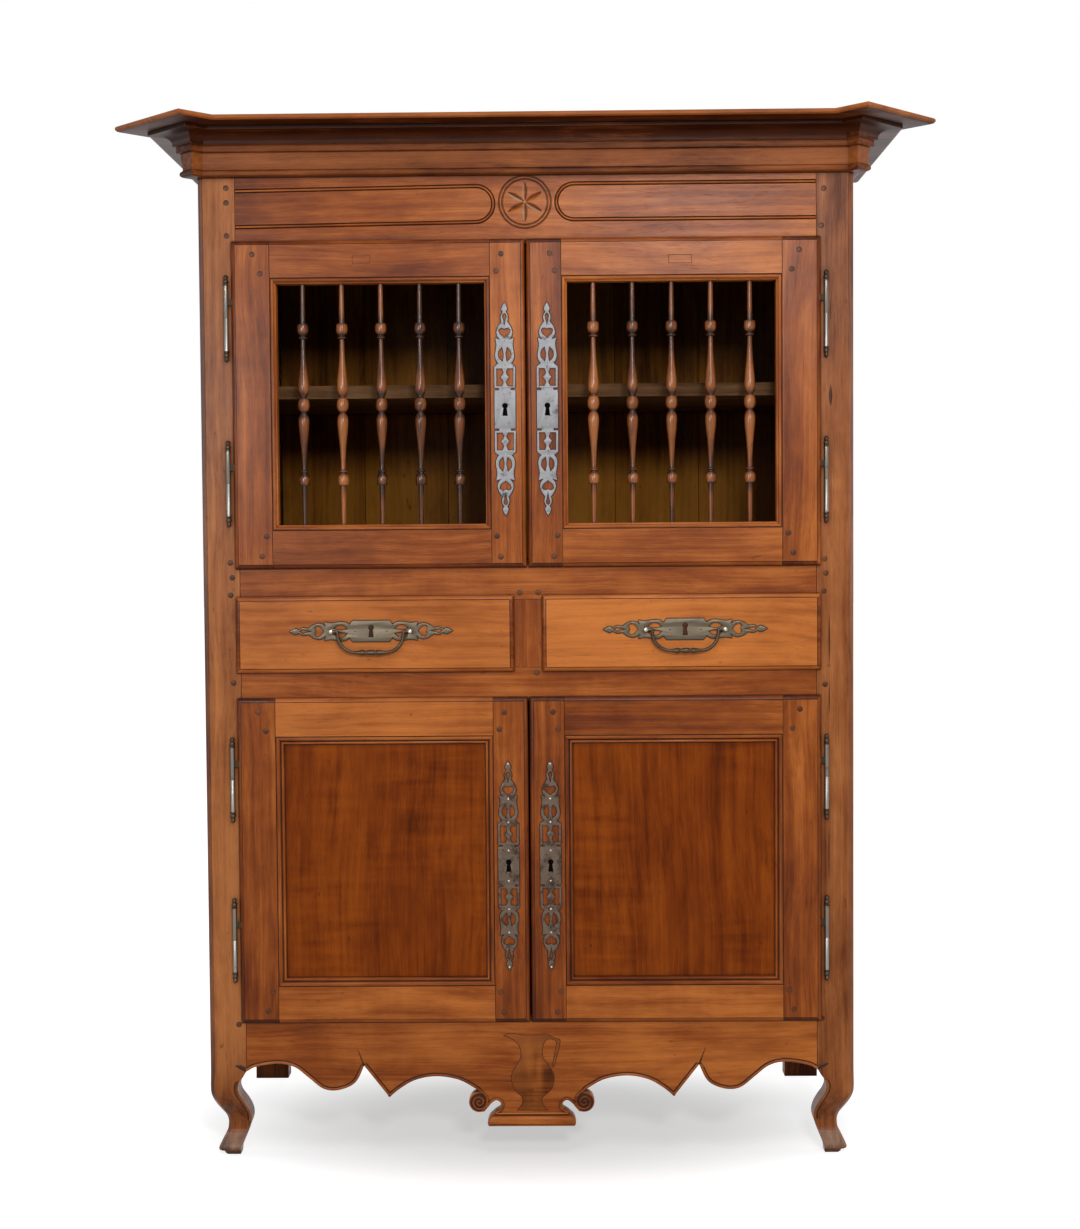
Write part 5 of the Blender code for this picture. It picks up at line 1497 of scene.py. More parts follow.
def lipped(bench, side, spans, edges, body=DOOR_BODY, tones=(0.0, 0.0)):
    """A board between u0, u1, v0 and v1; edges names the draw of each of those four sides, and tones gives
    the shade at the two ends of the grain."""
    u0, u1, v0, v1 = spans
    ends = zip((v0, v1), edges[2:]) if bench.along == "z" else zip((u0, u1), edges[:2])
    ends = [end for end, edge in ends if edge != "cut"]

    def lip_fade(point, middle):
        """Shade drifts along the board. Lips are darker, and darkest where they show end grain."""
        upright = bench.along == "z"
        way = part_way(point.z, v0, v1) if upright else part_way(side * point.x, u0, u1)
        drift = tones[0] + (tones[1] - tones[0]) * way
        if middle.y < DOOR_FACE + LIP_STEP / 2:
            return drift
        place = middle.z if upright else side * middle.x
        return drift + (LIP_END_SHADE if any(abs(place - end) < LIP_ROUND for end in ends) else LIP_SHADE)

    bench.fade = lip_fade
    rings = []
    for lip, meet, y in lip_layers(body):
        a, b, c, d = ({"lip": lip, "meet": meet, "cut": 0.0}[edge] for edge in edges)
        corners = ((u0 + a, v0 + c), (u1 - b, v0 + c), (u1 - b, v1 - d), (u0 + a, v1 - d))
        rings.append([(side * u, y, v) for u, v in corners])
    bench.loft(rings)


print("lips:", LIP, "m over the frame, and", len(lip_layers(DOOR_BODY)), "rings from back to front")

# %% [markdown]
# A door is two upright stiles with two rails between them, joined by tenons that don't show. One board with
# a hole would be quicker, but a frame shows by the turn of its grain and by the thin open joint at each
# corner. So every door is four boards, and all four doors are measured out by the same few lines.

# %% Doors
JOINT = 0.0010
WORN_FROM = 0.72
MEETING_GAP = 0.0015
HINGE_STILE = 0.076
STOREYS = {
    "upper": {
        "opening": (Z_UPPER, Z_UPPER_TOP),
        "lock_stile": 0.0685,
        "bottom_rail": 0.075,
        "top_rail": 0.073,
        "moulding": 0.012,
        "hinges": (0.170, 0.152),  # middle of a hinge, up from the foot and down from the top
        "plate_rise": -0.012,
    },
    "lower": {
        "opening": (Z_LOWER, Z_LOWER_TOP),
        "lock_stile": 0.069,
        "bottom_rail": 0.074,
        "top_rail": 0.076,
        "moulding": 0.017,
        "hinges": (0.168, 0.163),
        "plate_rise": -0.010,
    },
}
DOOR_TONES = {  # hinge stile and lock stile from foot to top, top rail and bottom rail from the lock outward
    "upper_left": ((-0.03, -0.04), (0.08, 0.08), (0.00, -0.04), (-0.14, -0.12)),
    "upper_right": ((0.09, -0.11), (-0.04, 0.00), (0.08, 0.07), (0.06, 0.13)),
    "lower_left": ((-0.04, -0.08), (-0.06, -0.04), (0.25, 0.33), (0.07, 0.05)),
    "lower_right": ((0.02, -0.11), (-0.15, 0.09), (-0.10, 0.12), (0.11, 0.15)),
}


class Door:
    """Edges of one door, measured out from the middle of the cupboard."""

    def __init__(self, storey, word, side):
        sizes = STOREYS[storey]
        low, high = sizes["opening"]
        first, second = sizes["hinges"]
        self.storey = storey
        self.name = f"{storey}_{word}"
        self.body = f"{self.name}_door"
        self.side = side
        self.z0, self.z1 = low - LIP, high + LIP
        self.x0, self.x1 = MEETING_GAP, HALF_OPENING + LIP
        self.mx0, self.mx1 = self.x0 + sizes["lock_stile"], self.x1 - HINGE_STILE
        self.mz0, self.mz1 = self.z0 + sizes["bottom_rail"], self.z1 - sizes["top_rail"]
        self.moulding = sizes["moulding"]
        self.hinges = (self.z0 + first, self.z1 - second)
        self.plate_z = (self.z0 + self.z1) / 2 + sizes["plate_rise"]

    def boards(self, bench):
        """Two stiles the full height, two rails between them."""
        between = (self.mx0 + JOINT, self.mx1 - JOINT)
        boards = (
            ("z", (self.mx1, self.x1, self.z0, self.z1), ("cut", "lip", "lip", "lip")),
            ("z", (self.x0, self.mx0, self.z0, self.z1), ("meet", "cut", "lip", "lip")),
            ("x", (*between, self.mz1, self.z1), ("cut", "cut", "cut", "lip")),
            ("x", (*between, self.z0, self.mz0), ("cut", "cut", "lip", "cut")),
        )
        for (along, spans, edges), tones in zip(boards, DOOR_TONES[self.name]):
            bench.board(along)
            lipped(bench, self.side, spans, edges, tones=tones)

    def ring(self, inset, y):
        """Corners of the opening in the frame, drawn in by the inset."""
        x0, x1 = self.mx0 + inset, self.mx1 - inset
        z0, z1 = self.mz0 + inset, self.mz1 - inset
        return [(self.side * x, y, z) for x, z in ((x0, z0), (x1, z0), (x1, z1), (x0, z1))]

    def frame_moulding(self, bench, profile, back, worn=0.0):
        """A mitred moulding round the opening, from (inset, depth behind the face) points."""

        def rubbed_edge(point, middle):
            """Paler along the inner edge, where hands have rubbed it."""
            out = self.side * middle.x
            inset = min(out - self.mx0, self.mx1 - out, middle.z - self.mz0, self.mz1 - middle.z)
            return worn if inset > WORN_FROM * profile[-1][0] else 0.0

        bench.board("z", fade=rubbed_edge)
        rings = [self.ring(inset, DOOR_FACE + depth) for inset, depth in profile]
        rings += [self.ring(profile[-1][0], back), self.ring(0.0, back)]
        bench.loft(rings, closed=True, grains="xzxz")


doors = [Door(storey, word, side) for storey in STOREYS for word, side in SIDES.items()]
upper_doors = [door for door in doors if door.storey == "upper"]
lower_doors = [door for door in doors if door.storey == "lower"]
print("doors:", [door.name for door in doors])

# %% [markdown]
# The upper doors are open frames. A narrow rounded strip runs round the opening, set down from the face by
# a small step. It could be planed on each board, but then its corners would have to be cut to meet; as one
# loft round the opening it mitres by itself. In each top rail an old mortise was plugged with a slip of the
# same wood, and only its thin dark joint still shows.

# %% Upper door frames
UPPER_PROFILE = (
    (0.0000, 0.0002),
    (0.0004, 0.0024),
    (0.0016, 0.0028),
    (0.0022, 0.0012),
    (0.0040, 0.0005),
    (0.0062, 0.0010),
    (0.0082, 0.0030),
    (0.0094, 0.0062),
    (0.0112, 0.0068),
    (0.0120, 0.0085),
)
UPPER_WORN = 0.12
PLUGS = {  # x, z, half width, half height
    "upper_left": (-0.324, 1.802, 0.018, 0.0075),
    "upper_right": (0.3055, 1.798, 0.023, 0.0085),
}
PLUG_LINE = 0.0009
PLUG_LIFT = 0.0002
PLUG_THICKNESS = 0.0006
PLUG_EDGE = 0.00005


def rectangle(x, z, half_x, half_z):
    return [(x + a * half_x, z + b * half_z) for a, b in ((-1, -1), (1, -1), (1, 1), (-1, 1))]


for door in upper_doors:
    bench = Bench(f"{door.name}_frame_boards")
    door.boards(bench)
    door.frame_moulding(bench, UPPER_PROFILE, FRONT + DOOR_BODY, UPPER_WORN)
    bench.board("x", finish=1)
    x, z, half_x, half_z = PLUGS[door.name]
    plug = [rectangle(x, z, half_x - inset, half_z - inset) for inset in (0, PLUG_LINE)]
    bench.plate(plug, DOOR_FACE - PLUG_LIFT, PLUG_THICKNESS, PLUG_EDGE)
    parts = ("hinge_stile", "lock_stile", "top_rail", "bottom_rail")
    bench.piece(door.body, [cherry, inlay_line], [f"{door.name}_{part}" for part in parts])

# %% [markdown]
# Five spindles stand in each upper door. They were turned by eye on a lathe: a bead in the middle, a vase
# to each side, a ring, a cup and a plain end. A screw modifier could spin the profile too. Here a few
# points give half of it, and a smooth line through each stretch makes it flow, with sharp steps where the
# chisel cut in.

# %% Spindle profile
SPINDLE_TENON = 0.009
SPINDLE_END = 0.0046
SPINDLE_SLIM = 0.97  # the lower half is a little slimmer from its ring down
SPINDLE_SLIM_FROM = 0.13
SPINDLE_HALF = (  # stretches of (away from the middle, radius)
    ((0.0000, 0.0117), (0.0060, 0.0112), (0.0115, 0.0090), (0.0150, 0.0064)),
    ((0.0166, 0.0062), (0.0182, 0.0070)),
    (
        (0.0184, 0.0078),
        (0.0240, 0.0098),
        (0.0340, 0.0109),
        (0.0500, 0.0099),
        (0.0820, 0.0066),
        (0.1110, 0.0050),
        (0.1300, 0.0049),
    ),
    ((0.1304, 0.0074), (0.1316, 0.0090), (0.1334, 0.0092), (0.1346, 0.0078)),
    ((0.1350, 0.0062), (0.1374, 0.0066)),
    ((0.1380, 0.0082), (0.1420, 0.0104), (0.1490, 0.0113), (0.1560, 0.0111), (0.1600, 0.0104)),
    ((0.1604, 0.0058), (0.1900, 0.0051), (0.2200, 0.0047)),
)


def spindle_profile(seat):
    """Rings of a spindle from its top to its foot, as (radius, height) from the middle."""
    half = []
    for stretch in SPINDLE_HALF:
        half += [tuple(point) for point in (smooth_run(stretch, 4) if len(stretch) > 2 else stretch)]
    half.append((seat + SPINDLE_TENON, SPINDLE_END))
    upper = [(radius, away) for away, radius in reversed(half)]
    lower = []
    for away, radius in half[1:]:
        slim = SPINDLE_SLIM if away > SPINDLE_SLIM_FROM else 1.0
        lower.append((radius * slim, -away))
    return upper + lower


print("spindle:", len(spindle_profile(0.23)), "rings")

# %% [markdown]
# No two spindles are the same brown. Each has a shade of its own, and painted shade darkens it where the
# chisel cut in, over what the profile shows by its own shadows. The shade is written on the rings as they
# are turned.

# %% Spindles
SPINDLE_Y = FRONT + 0.006
SPINDLE_PITCH = 0.0776
SPINDLES = 5
SPINDLE_SPREAD = 0.08
SPINDLE_TONES = {  # from the middle of the cupboard outward
    "upper_left": (-0.06, -0.08, 0.02, 0.34, -0.04),
    "upper_right": (0.02, -0.06, -0.06, 0.04, 0.04),
}
# The dark values where the chisel cut in are painted shade.
SPINDLE_SHADE_AND_DUST = (  # away from the middle, shade: dark where the chisel cut in, dusty at the ends
    (0.000, 0.06),
    (0.011, 0.00),
    (0.0155, -0.40),
    (0.0190, -0.25),
    (0.030, 0.06),
    (0.060, 0.02),
    (0.100, -0.09),
    (0.128, -0.18),
    (0.1345, -0.34),
    (0.1385, -0.30),
    (0.146, 0.06),
    (0.157, -0.04),
    (0.161, -0.34),
    (0.185, -0.07),
    (0.260, -0.11),
)


def spindle_fade(centre):
    """Shade along a spindle, counted from its middle: painted shade in the cuts, dust at the ends."""

    def fade(point, middle):
        away = abs(point.z - centre)
        for (near, start), (far, end) in zip(SPINDLE_SHADE_AND_DUST, SPINDLE_SHADE_AND_DUST[1:]):
            if away < far:
                return start + (end - start) * (away - near) / (far - near)
        return SPINDLE_SHADE_AND_DUST[-1][1]

    return fade


for door in upper_doors:
    low, high = door.mz0 + door.moulding, door.mz1 - door.moulding
    profile = spindle_profile((high - low) / 2)
    middle_x, middle_z = (door.mx0 + door.mx1) / 2, (low + high) / 2
    for i in range(SPINDLES):
        x = middle_x + (i - (SPINDLES - 1) / 2) * SPINDLE_PITCH
        bench = Bench(f"{door.name}_turned_{i + 1}", spread=SPINDLE_SPREAD)
        bench.board("z", tone=SPINDLE_TONES[door.name][i], fade=spindle_fade(middle_z))
        bench.turn(profile, Matrix.Translation((door.side * x, SPINDLE_Y, middle_z)))
        bench.piece(door.body, [turned_wood], [f"{door.name}_spindle_{i + 1}"], bevel=0)

# %% [markdown]
# The lower doors hold a flat panel of redder, darker wood. Round it runs a wider moulding: a step, a
# quarter round, a groove and a thin bead that meets the panel. Frame and panel could be one mesh, but the
# real panel lies loose in a groove so that it can swell, and its edge is hidden there, so it is a piece of
# its own.

# %% Lower doors
LOWER_PROFILE = (
    (0.0000, 0.0002),
    (0.0004, 0.0024),
    (0.0014, 0.0028),
    (0.0020, 0.0012),
    (0.0045, 0.0007),
    (0.0072, 0.0018),
    (0.0088, 0.0042),
    (0.0094, 0.0072),
    (0.0110, 0.0076),
    (0.0116, 0.0056),
    (0.0134, 0.0047),
    (0.0154, 0.0055),
    (0.0166, 0.0082),
    (0.0170, 0.0119),
)
PANEL_SINK = 0.012
PANEL_THICKNESS = 0.010
PANEL_TONGUE = 0.006
PANEL_TONE = 0.09
PANEL_SPREAD = 0.03
for door in lower_doors:
    bench = Bench(f"{door.name}_frame_boards")
    door.boards(bench)
    door.frame_moulding(bench, LOWER_PROFILE, DOOR_FACE + PANEL_SINK)
    bench.piece(door.body, [cherry], [f"{door.name}_door_frame"])
    bench = Bench(f"{door.name}_flat_panel", spread=PANEL_SPREAD)
    bench.board("z", PANEL_TONE)
    edge = door.moulding - PANEL_TONGUE
    face = DOOR_FACE + PANEL_SINK + FIT_GAP
    bench.loft([door.ring(edge, y) for y in (face, face + PANEL_THICKNESS)])
    bench.piece(door.body, [panel_wood], [f"{door.name}_panel"])

# %% [markdown]
# Drawer fronts are single boards with a lip on all four sides. They could be beveled blocks, but the lipped
# board that the doors use has the same edge, so it serves here with a lip on every side.

# %% Drawer fronts
DRAWER_BODY = 0.014
DRAWER_TONE = {"left": 0.27, "right": 0.30}
for word, side in SIDES.items():
    bench = Bench(f"drawer_{word}_board")
    bench.board("x", DRAWER_TONE[word])
    spans = (HALF_MUNTIN - LIP, HALF_OPENING + LIP, Z_DRAWER - LIP, Z_DRAWER_TOP + LIP)
    lipped(bench, side, spans, ("lip", "lip", "lip", "lip"), DRAWER_BODY)
    bench.piece(f"drawer_{word}", [cherry], [f"drawer_{word}_front"])

# %% [markdown]
# The iron plates are pierced: a keyhole in a plain middle, a square fret with a baluster, and long wings
# with almonds, a heart and a drop. A flat plate with a picture of the holes would show no depth. They were
# sawn from sheet and filed round, so they are outlines with holes, given a rounded edge. The drawer pulls
# use the same wings lying down.

# %% Plate outlines
PLATE_HALF_WIDTH = 0.021
PLATE_WING = 0.1265
PLATE_FRET = 0.0425
WING = (  # out from the shoulder, half width, kind
    (0.0060, 0.0128, "corner"),
    (0.0130, 0.0175, "smooth"),
    (0.0235, 0.0190, "smooth"),
    (0.0425, 0.0164, "smooth"),
    (0.0565, 0.0187, "corner"),
    (0.0530, 0.0090, "corner"),
    (0.0600, 0.0145, "corner"),
    (0.0685, 0.0160, "smooth"),
    (0.0795, 0.0125, "corner"),
    (0.0880, 0.0060, "corner"),
    (0.0985, 0.0075, "smooth"),
    (0.1075, 0.0032, "corner"),
    (0.1140, 0.0060, "smooth"),
)
WING_TEARDROP = (
    (0.0800, 0.0, "corner"),
    (0.0920, 0.0022, "corner"),
    (0.1000, 0.0040, "smooth"),
    (0.1045, 0.0, "smooth"),
)
WING_HEART = (
    (0.0562, 0.0, "corner"),
    (0.0640, 0.0095, "corner"),
    (0.0715, 0.0115, "smooth"),
    (0.0755, 0.0060, "smooth"),
    (0.0735, 0.0, "corner"),
)
WING_ALMOND = (
    (0.0385, 0.0050, "corner"),
    (0.0310, 0.0114, "smooth"),
    (0.0240, 0.0130, "smooth"),
    (0.0165, 0.0112, "smooth"),
    (0.0095, 0.0042, "corner"),
    (0.0240, 0.0022, "smooth"),
)
FRET_MARGIN = 0.004
FRET_OUTER = 0.0166
FRET_NECK = 0.0028
FRET_DIAMOND = 0.0085


def mirrored(half):
    """A half shape and its other half."""
    return list(half) + [(along, -wide, kind) for along, wide, kind in reversed(half) if wide > 0]


def flipped(shape):
    """The same shape on the other side of the plate's axis."""
    return [(along, -wide, kind) for along, wide, kind in shape]


def wing_edge(root):
    """Half the outline of a wing, from its shoulder to its tip."""
    points = [(root, PLATE_HALF_WIDTH, "corner")]
    points += [(root + along, wide, kind) for along, wide, kind in WING]
    return [*points, (root + PLATE_WING, 0.0, "corner")]


def wing_holes(root):
    holes = [mirrored(WING_TEARDROP), mirrored(WING_HEART), WING_ALMOND, flipped(WING_ALMOND)]
    return [[(root + along, wide, kind) for along, wide, kind in hole] for hole in holes]


def fret_holes(root):
    """The two holes of a square fret, with a baluster left between them."""
    far, near = root - FRET_MARGIN, root - PLATE_FRET + FRET_MARGIN
    middle, waist = (far + near) / 2, (far - near) / 4
    half = [
        (far, FRET_OUTER, "corner"),
        (far, 2 * FRET_NECK, "corner"),
        (middle + waist, FRET_NECK, "smooth"),
        (middle, FRET_DIAMOND, "corner"),
        (middle - waist, FRET_NECK, "smooth"),
        (near, 2 * FRET_NECK, "corner"),
        (near, FRET_OUTER, "corner"),
    ]
    return [half, flipped(half)]


def both_ends(shapes):
    """Shapes at one end of the plate, and again at the other."""
    return shapes + [[(-along, wide, kind) for along, wide, kind in shape] for shape in shapes]


def pierced(root, body_edge, frets):
    """Outline and holes of a plate that lies along its axis, as (along, across) lines."""
    end = mirrored([*body_edge, *wing_edge(root)])
    outline = end + [(-along, -wide, kind) for along, wide, kind in end]
    holes = both_ends(wing_holes(root) + (fret_holes(root) if frets else []))
    return [[tuple(point) for point in traced(shape, 6)] for shape in [outline, *holes]]


print("plate wing:", PLATE_WING, "m long with", len(wing_holes(0.0)), "holes")

# %% [markdown]
# Iron on wood never meets it cleanly: polish and dust settle in a dark line round a plate and in its holes,
# and shade falls there and into a keyhole. The finish finds corners by itself, but this line is finer than
# it can see. So a thin dark plate, a little larger than the iron, lies under it as dust and painted shade,
# and another one behind the keyhole is painted shade.

# %% Plates on the wood
PLATE_THICKNESS = 0.002
PLATE_EDGE = 0.0007
PLATE_FRONT = DOOR_FACE - FIT_GAP - PLATE_THICKNESS
KEYHOLE_RADIUS = 0.0054
KEYHOLE_SLOT = 0.0052
KEYHOLE_HEIGHT = 0.025
KEYHOLE_SWEEP = (-55, 235)  # degrees of the round head
KEYHOLE_SHADE_GROW = 0.002
KEYHOLE_SHADE_LIFT = 0.0006
KEYHOLE_SHADE_THICKNESS = 0.001
DUST_AND_SHADE_REACH = (0.0013, 0.0006)  # round the outside, into the holes
DUST_AND_SHADE_LIFT = 0.0004
DUST_AND_SHADE_THICKNESS = 0.0005


def keyhole(grow=0.0):
    """A round head over a wide slot."""
    top = KEYHOLE_HEIGHT / 2 - KEYHOLE_RADIUS
    head = arc((0, top), KEYHOLE_RADIUS + grow, *KEYHOLE_SWEEP, 20)
    foot = -KEYHOLE_HEIGHT / 2 - grow
    return [*head, (-KEYHOLE_SLOT - grow, foot), (KEYHOLE_SLOT + grow, foot)]


def grown(line, distance):
    """A closed outline moved outward."""
    points = [Vector(point) for point in line]
    after = points[1:] + points[:1]
    area = sum(a.x * b.y - b.x * a.y for a, b in zip(points, after))
    way = distance if area > 0 else -distance
    wider = []
    for before, point, next_point in zip(points[-1:] + points[:-1], points, after):
        run = (next_point - before).normalized()
        wider.append((point.x + way * run.y, point.y - way * run.x))
    return wider


def dust_and_shade_lines(lines):
    """A dark line of dust and painted shade round a plate: its outline a little larger, its holes a little
    smaller.
    """
    outline, *holes = lines
    return [grown(outline, DUST_AND_SHADE_REACH[0])] + [grown(hole, -DUST_AND_SHADE_REACH[1]) for hole in holes]


def moved(line, x, z):
    return [(x + a, z + b) for a, b in line]


def iron_plate(bench, lines, x, z):
    """The pierced plate itself, with its keyhole."""
    outlines = [moved(line, x, z) for line in [*lines, keyhole()]]
    bench.plate(outlines, PLATE_FRONT, PLATE_THICKNESS, PLATE_EDGE)


def dark_round_shade(bench, lines, x, z):
    outlines = [moved(line, x, z) for line in dust_and_shade_lines(lines)]
    bench.plate(outlines, DOOR_FACE - DUST_AND_SHADE_LIFT, DUST_AND_SHADE_THICKNESS, SLIP_EDGE)


def keyhole_painted_shade(bench, x, z):
    """A dark sheet behind a keyhole: painted shade for the hole."""
    outline = moved(keyhole(KEYHOLE_SHADE_GROW), x, z)
    bench.plate([outline], DOOR_FACE - KEYHOLE_SHADE_LIFT, KEYHOLE_SHADE_THICKNESS, SLIP_EDGE)


print("plates:", PLATE_THICKNESS, "m of iron, with", DUST_AND_SHADE_REACH[0], "m of dark round it")

# %% [markdown]
# Small round-headed nails hold the plates, one at each tip and along the middle. A ball would do from afar,
# but a forged head is a shallow dome with a steep rim, so it is turned from a short profile.

# %% Nails
NAIL_RADIUS = 0.0021
NAIL_DOME = (  # share of the radius, height over the plate
    (1.0, -0.0012),
    (1.0, 0.0001),
    (0.92, 0.0006),
    (0.7, 0.0011),
    (0.3, 0.0014),
)


def nail(bench, x, z):
    dome = [(share * NAIL_RADIUS, height) for share, height in NAIL_DOME]
    bench.turn(dome, Matrix.Translation((x, PLATE_FRONT, z)) @ FACING, 12)


print("nail heads:", 2 * NAIL_RADIUS, "m across")

# %% [markdown]
# A plate stands upright on the lock stile of each door, with its keyhole in the middle and deep slots that
# mark off the frets. The four are cut to one drawing, so its lines are made once and moved to each door.

# %% Lock plates
PLATE_BODY = 0.038
PLATE_SLOT = 0.004
PLATE_SLOT_DEPTH = 0.009
PLATE_OFFSET = 0.042
NAIL_PLACES = (0.0305, 0.0875, 0.1345, 0.2045)  # up and down from the keyhole
slot_out = PLATE_BODY + PLATE_SLOT
shoulder = slot_out + PLATE_FRET
notch = PLATE_HALF_WIDTH - PLATE_SLOT_DEPTH
plate_body = [
    (PLATE_BODY, PLATE_HALF_WIDTH, "corner"),
    (PLATE_BODY, notch, "corner"),
    (slot_out, notch, "corner"),
    (slot_out, PLATE_HALF_WIDTH, "corner"),
]
lock_lines = pierced(shoulder, plate_body, frets=True)
upright_lines = [[(across, along) for along, across in line] for line in lock_lines]
PLATE_IRONS = {  # a name that is not used, plate, nails
    "upper": ("bright_iron", bright_iron, pin_iron),
    "lower": ("wrought_iron", brown_iron, nail_iron),
}
for door in doors:
    slot_name, plate_metal, nail_metal = PLATE_IRONS[door.storey]
    x, z = door.side * PLATE_OFFSET, door.plate_z
    bench = Bench(f"{door.name}_pierced_plate")
    iron_plate(bench, upright_lines, x, z)
    bench.board("z", finish=3)
    dark_round_shade(bench, upright_lines, x, z)
    bench.board("z", finish=1)
    keyhole_painted_shade(bench, x, z)
    bench.board("z", finish=2)
    for away in NAIL_PLACES:
        for end in SIDES.values():
            nail(bench, x, z + end * away)
    finishes = [plate_metal, keyhole_dark, nail_metal, inlay_line]
    bench.piece(door.body, finishes, [f"{door.name}_lock_plate"], bevel=0)

# %% [markdown]
# Each drawer has a plate with two studs, and a bail that swings in them: a bar bent to a flat bow, with a
# turned grip in the middle. Bar and grip could be two pieces. Here one round bar is swept along its line
# with a thickness at each point, so that it swells into the grip.

# %% Drawer pulls
PULL_X = 0.3125
PULL_Z = 1.067
PULL_HALF_WIDTH = 0.0368
PULL_STUD_X = PULL_HALF_WIDTH + 0.042
BAIL_Y = -0.250154
BAIL_RADIUS = 0.0032
BAIL_DROP = 0.042
BAIL_BEND = (0.036, 0.036)  # across, down
BAIL_REACH = PULL_STUD_X - 0.0135
BAIL_ELBOW = 0.003
BAIL_CROOK = 0.0008
PULL_NAILS = (PULL_HALF_WIDTH - 0.006, PULL_HALF_WIDTH + 0.118)
GRIP = (  # out from the middle, share of the bar's thickness
    (0.026, 1.15),
    (0.020, 1.45),
    (0.015, 1.70),
    (0.010, 1.15),
    (0.006, 1.45),
    (0.003, 1.60),
    (0.000, 1.62),
)
STUD = (  # radius, height over the plate
    (0.0045, -0.0008),
    (0.0045, 0.0010),
    (0.0034, 0.0040),
    (0.0036, 0.0055),
    (0.0050, 0.0075),
    (0.0052, 0.0105),
    (0.0050, 0.0130),
    (0.0038, 0.0158),
    (0.0016, 0.0170),
)


def bail_line():
    """The bar from end to end, as (out from the middle, height, share of the bar's thickness)."""
    bow = arc((0, 0), 1.0, 0, -90, 12)
    bow = [(BAIL_REACH - BAIL_BEND[0] * (1 - a), BAIL_BEND[1] * (1 + b) - BAIL_DROP) for a, b in bow]
    elbow = [
        (PULL_STUD_X, 0.0),
        (BAIL_REACH + BAIL_ELBOW, 0.0),
        (BAIL_REACH + BAIL_CROOK, -BAIL_CROOK),
        (BAIL_REACH, -BAIL_ELBOW),
    ]
    plain = [(a, b, 1.0) for a, b in [*elbow, *bow[:-1]]]
    grip = smooth_run([(BAIL_REACH - BAIL_BEND[0], 1.0), *GRIP], 4)
    right = plain + [(a, -BAIL_DROP, swell) for a, swell in grip]
    return right + [(-a, b, swell) for a, b, swell in reversed(right[:-1])]


pull_lines = pierced(PULL_HALF_WIDTH, [], frets=False)
bail = bail_line()
for word, side in SIDES.items():
    x = side * PULL_X
    bench = Bench(f"drawer_{word}_pull")
    iron_plate(bench, pull_lines, x, PULL_Z)
    bench.board("z", finish=1)
    dark_round_shade(bench, pull_lines, x, PULL_Z)
    bench.board("z", finish=2)
    for end in SIDES.values():
        bench.turn(STUD, Matrix.Translation((x + end * PULL_STUD_X, PLATE_FRONT, PULL_Z)) @ FACING, 16)
    bench.board("z", finish=1)
    keyhole_painted_shade(bench, x, PULL_Z)
    bench.board("z", finish=0)
    for away in PULL_NAILS:
        for end in SIDES.values():
            nail(bench, x + end * away, PULL_Z)
    finishes = [pull_iron, inlay_line, nail_iron]
    bench.piece(f"drawer_{word}", finishes, [f"drawer_{word}_pull_plate"], bevel=0)
    bench = Bench(f"drawer_{word}_swing_handle")
    path = [(x + a, BAIL_Y, PULL_Z + b) for a, b, swell in bail]
    bench.sweep(path, [BAIL_RADIUS * swell for a, b, swell in bail], 14)
    bench.piece(f"bail_{word}", [finial_iron], [f"drawer_{word}_bail"], bevel=0)

# %% [markdown]
# The doors hang on long slim hinges. The lower half of a barrel, with its pin, is fast to the post; the
# upper half goes with the door. Both end in a small turned finial. One barrel across the joint would look
# the same while the door is shut, but it would tear as it opens, so the halves are separate pieces on two
# bodies.

# %% Hinges
HINGE_X = HALF_OPENING + LIP + 0.011
HINGE_Y = -0.231354
HINGE_LENGTH = 0.172
FINIAL = 0.022
BARREL = 0.0044
BARREL_END = HINGE_LENGTH / 2 - FINIAL
PIN = 0.0024
PIN_SHAPE = (  # radius, height from the middle of the hinge
    (PIN, 0.03),
    (PIN, 0.0),
    (BARREL - 0.0003, 0.0),
    (BARREL, -0.0004),
    (BARREL, -BARREL_END),
)
TUBE_SHAPE = (
    (BARREL, BARREL_END),
    (BARREL, 0.0007),
    (BARREL - 0.0003, 0.0003),
    (PIN + 0.0002, 0.0003),
    (PIN + 0.0002, 0.0305),
)
LEAF_THICKNESS = 0.0026
LEAF_HEIGHT = 0.012
LEAF_SEAT = 0.004
LEAF_REACH = 0.8  # how near the pin's middle the leaf comes, as a share of the barrel's radius
FINIAL_SHAPE = (  # out from the barrel, radius
    (0.0000, 0.0046),
    (0.0006, 0.0056),
    (0.0022, 0.0056),
    (0.0030, 0.0036),
    (0.0044, 0.0034),
    (0.0060, 0.0048),
    (0.0088, 0.0055),
    (0.0112, 0.0046),
    (0.0128, 0.0030),
    (0.0146, 0.0038),
    (0.0172, 0.0048),
    (0.0200, 0.0036),
    (0.0216, 0.0014),
)
bench = Bench("hinge_pins")
pins = []
for door in doors:
    for number, middle in enumerate(door.hinges, 1):
        place = Matrix.Translation((door.side * HINGE_X, HINGE_Y, middle))
        bench.board("z")
        bench.turn(PIN_SHAPE, place, 20)
        bench.board("z", finish=1)
        bench.turn([(radius, -BARREL_END - out) for out, radius in FINIAL_SHAPE], place, 20)
        pins.append(f"hinge_pintle_{door.name}_{number}")
bench.piece("carcass", [pin_iron, finial_iron], pins, bevel=0)
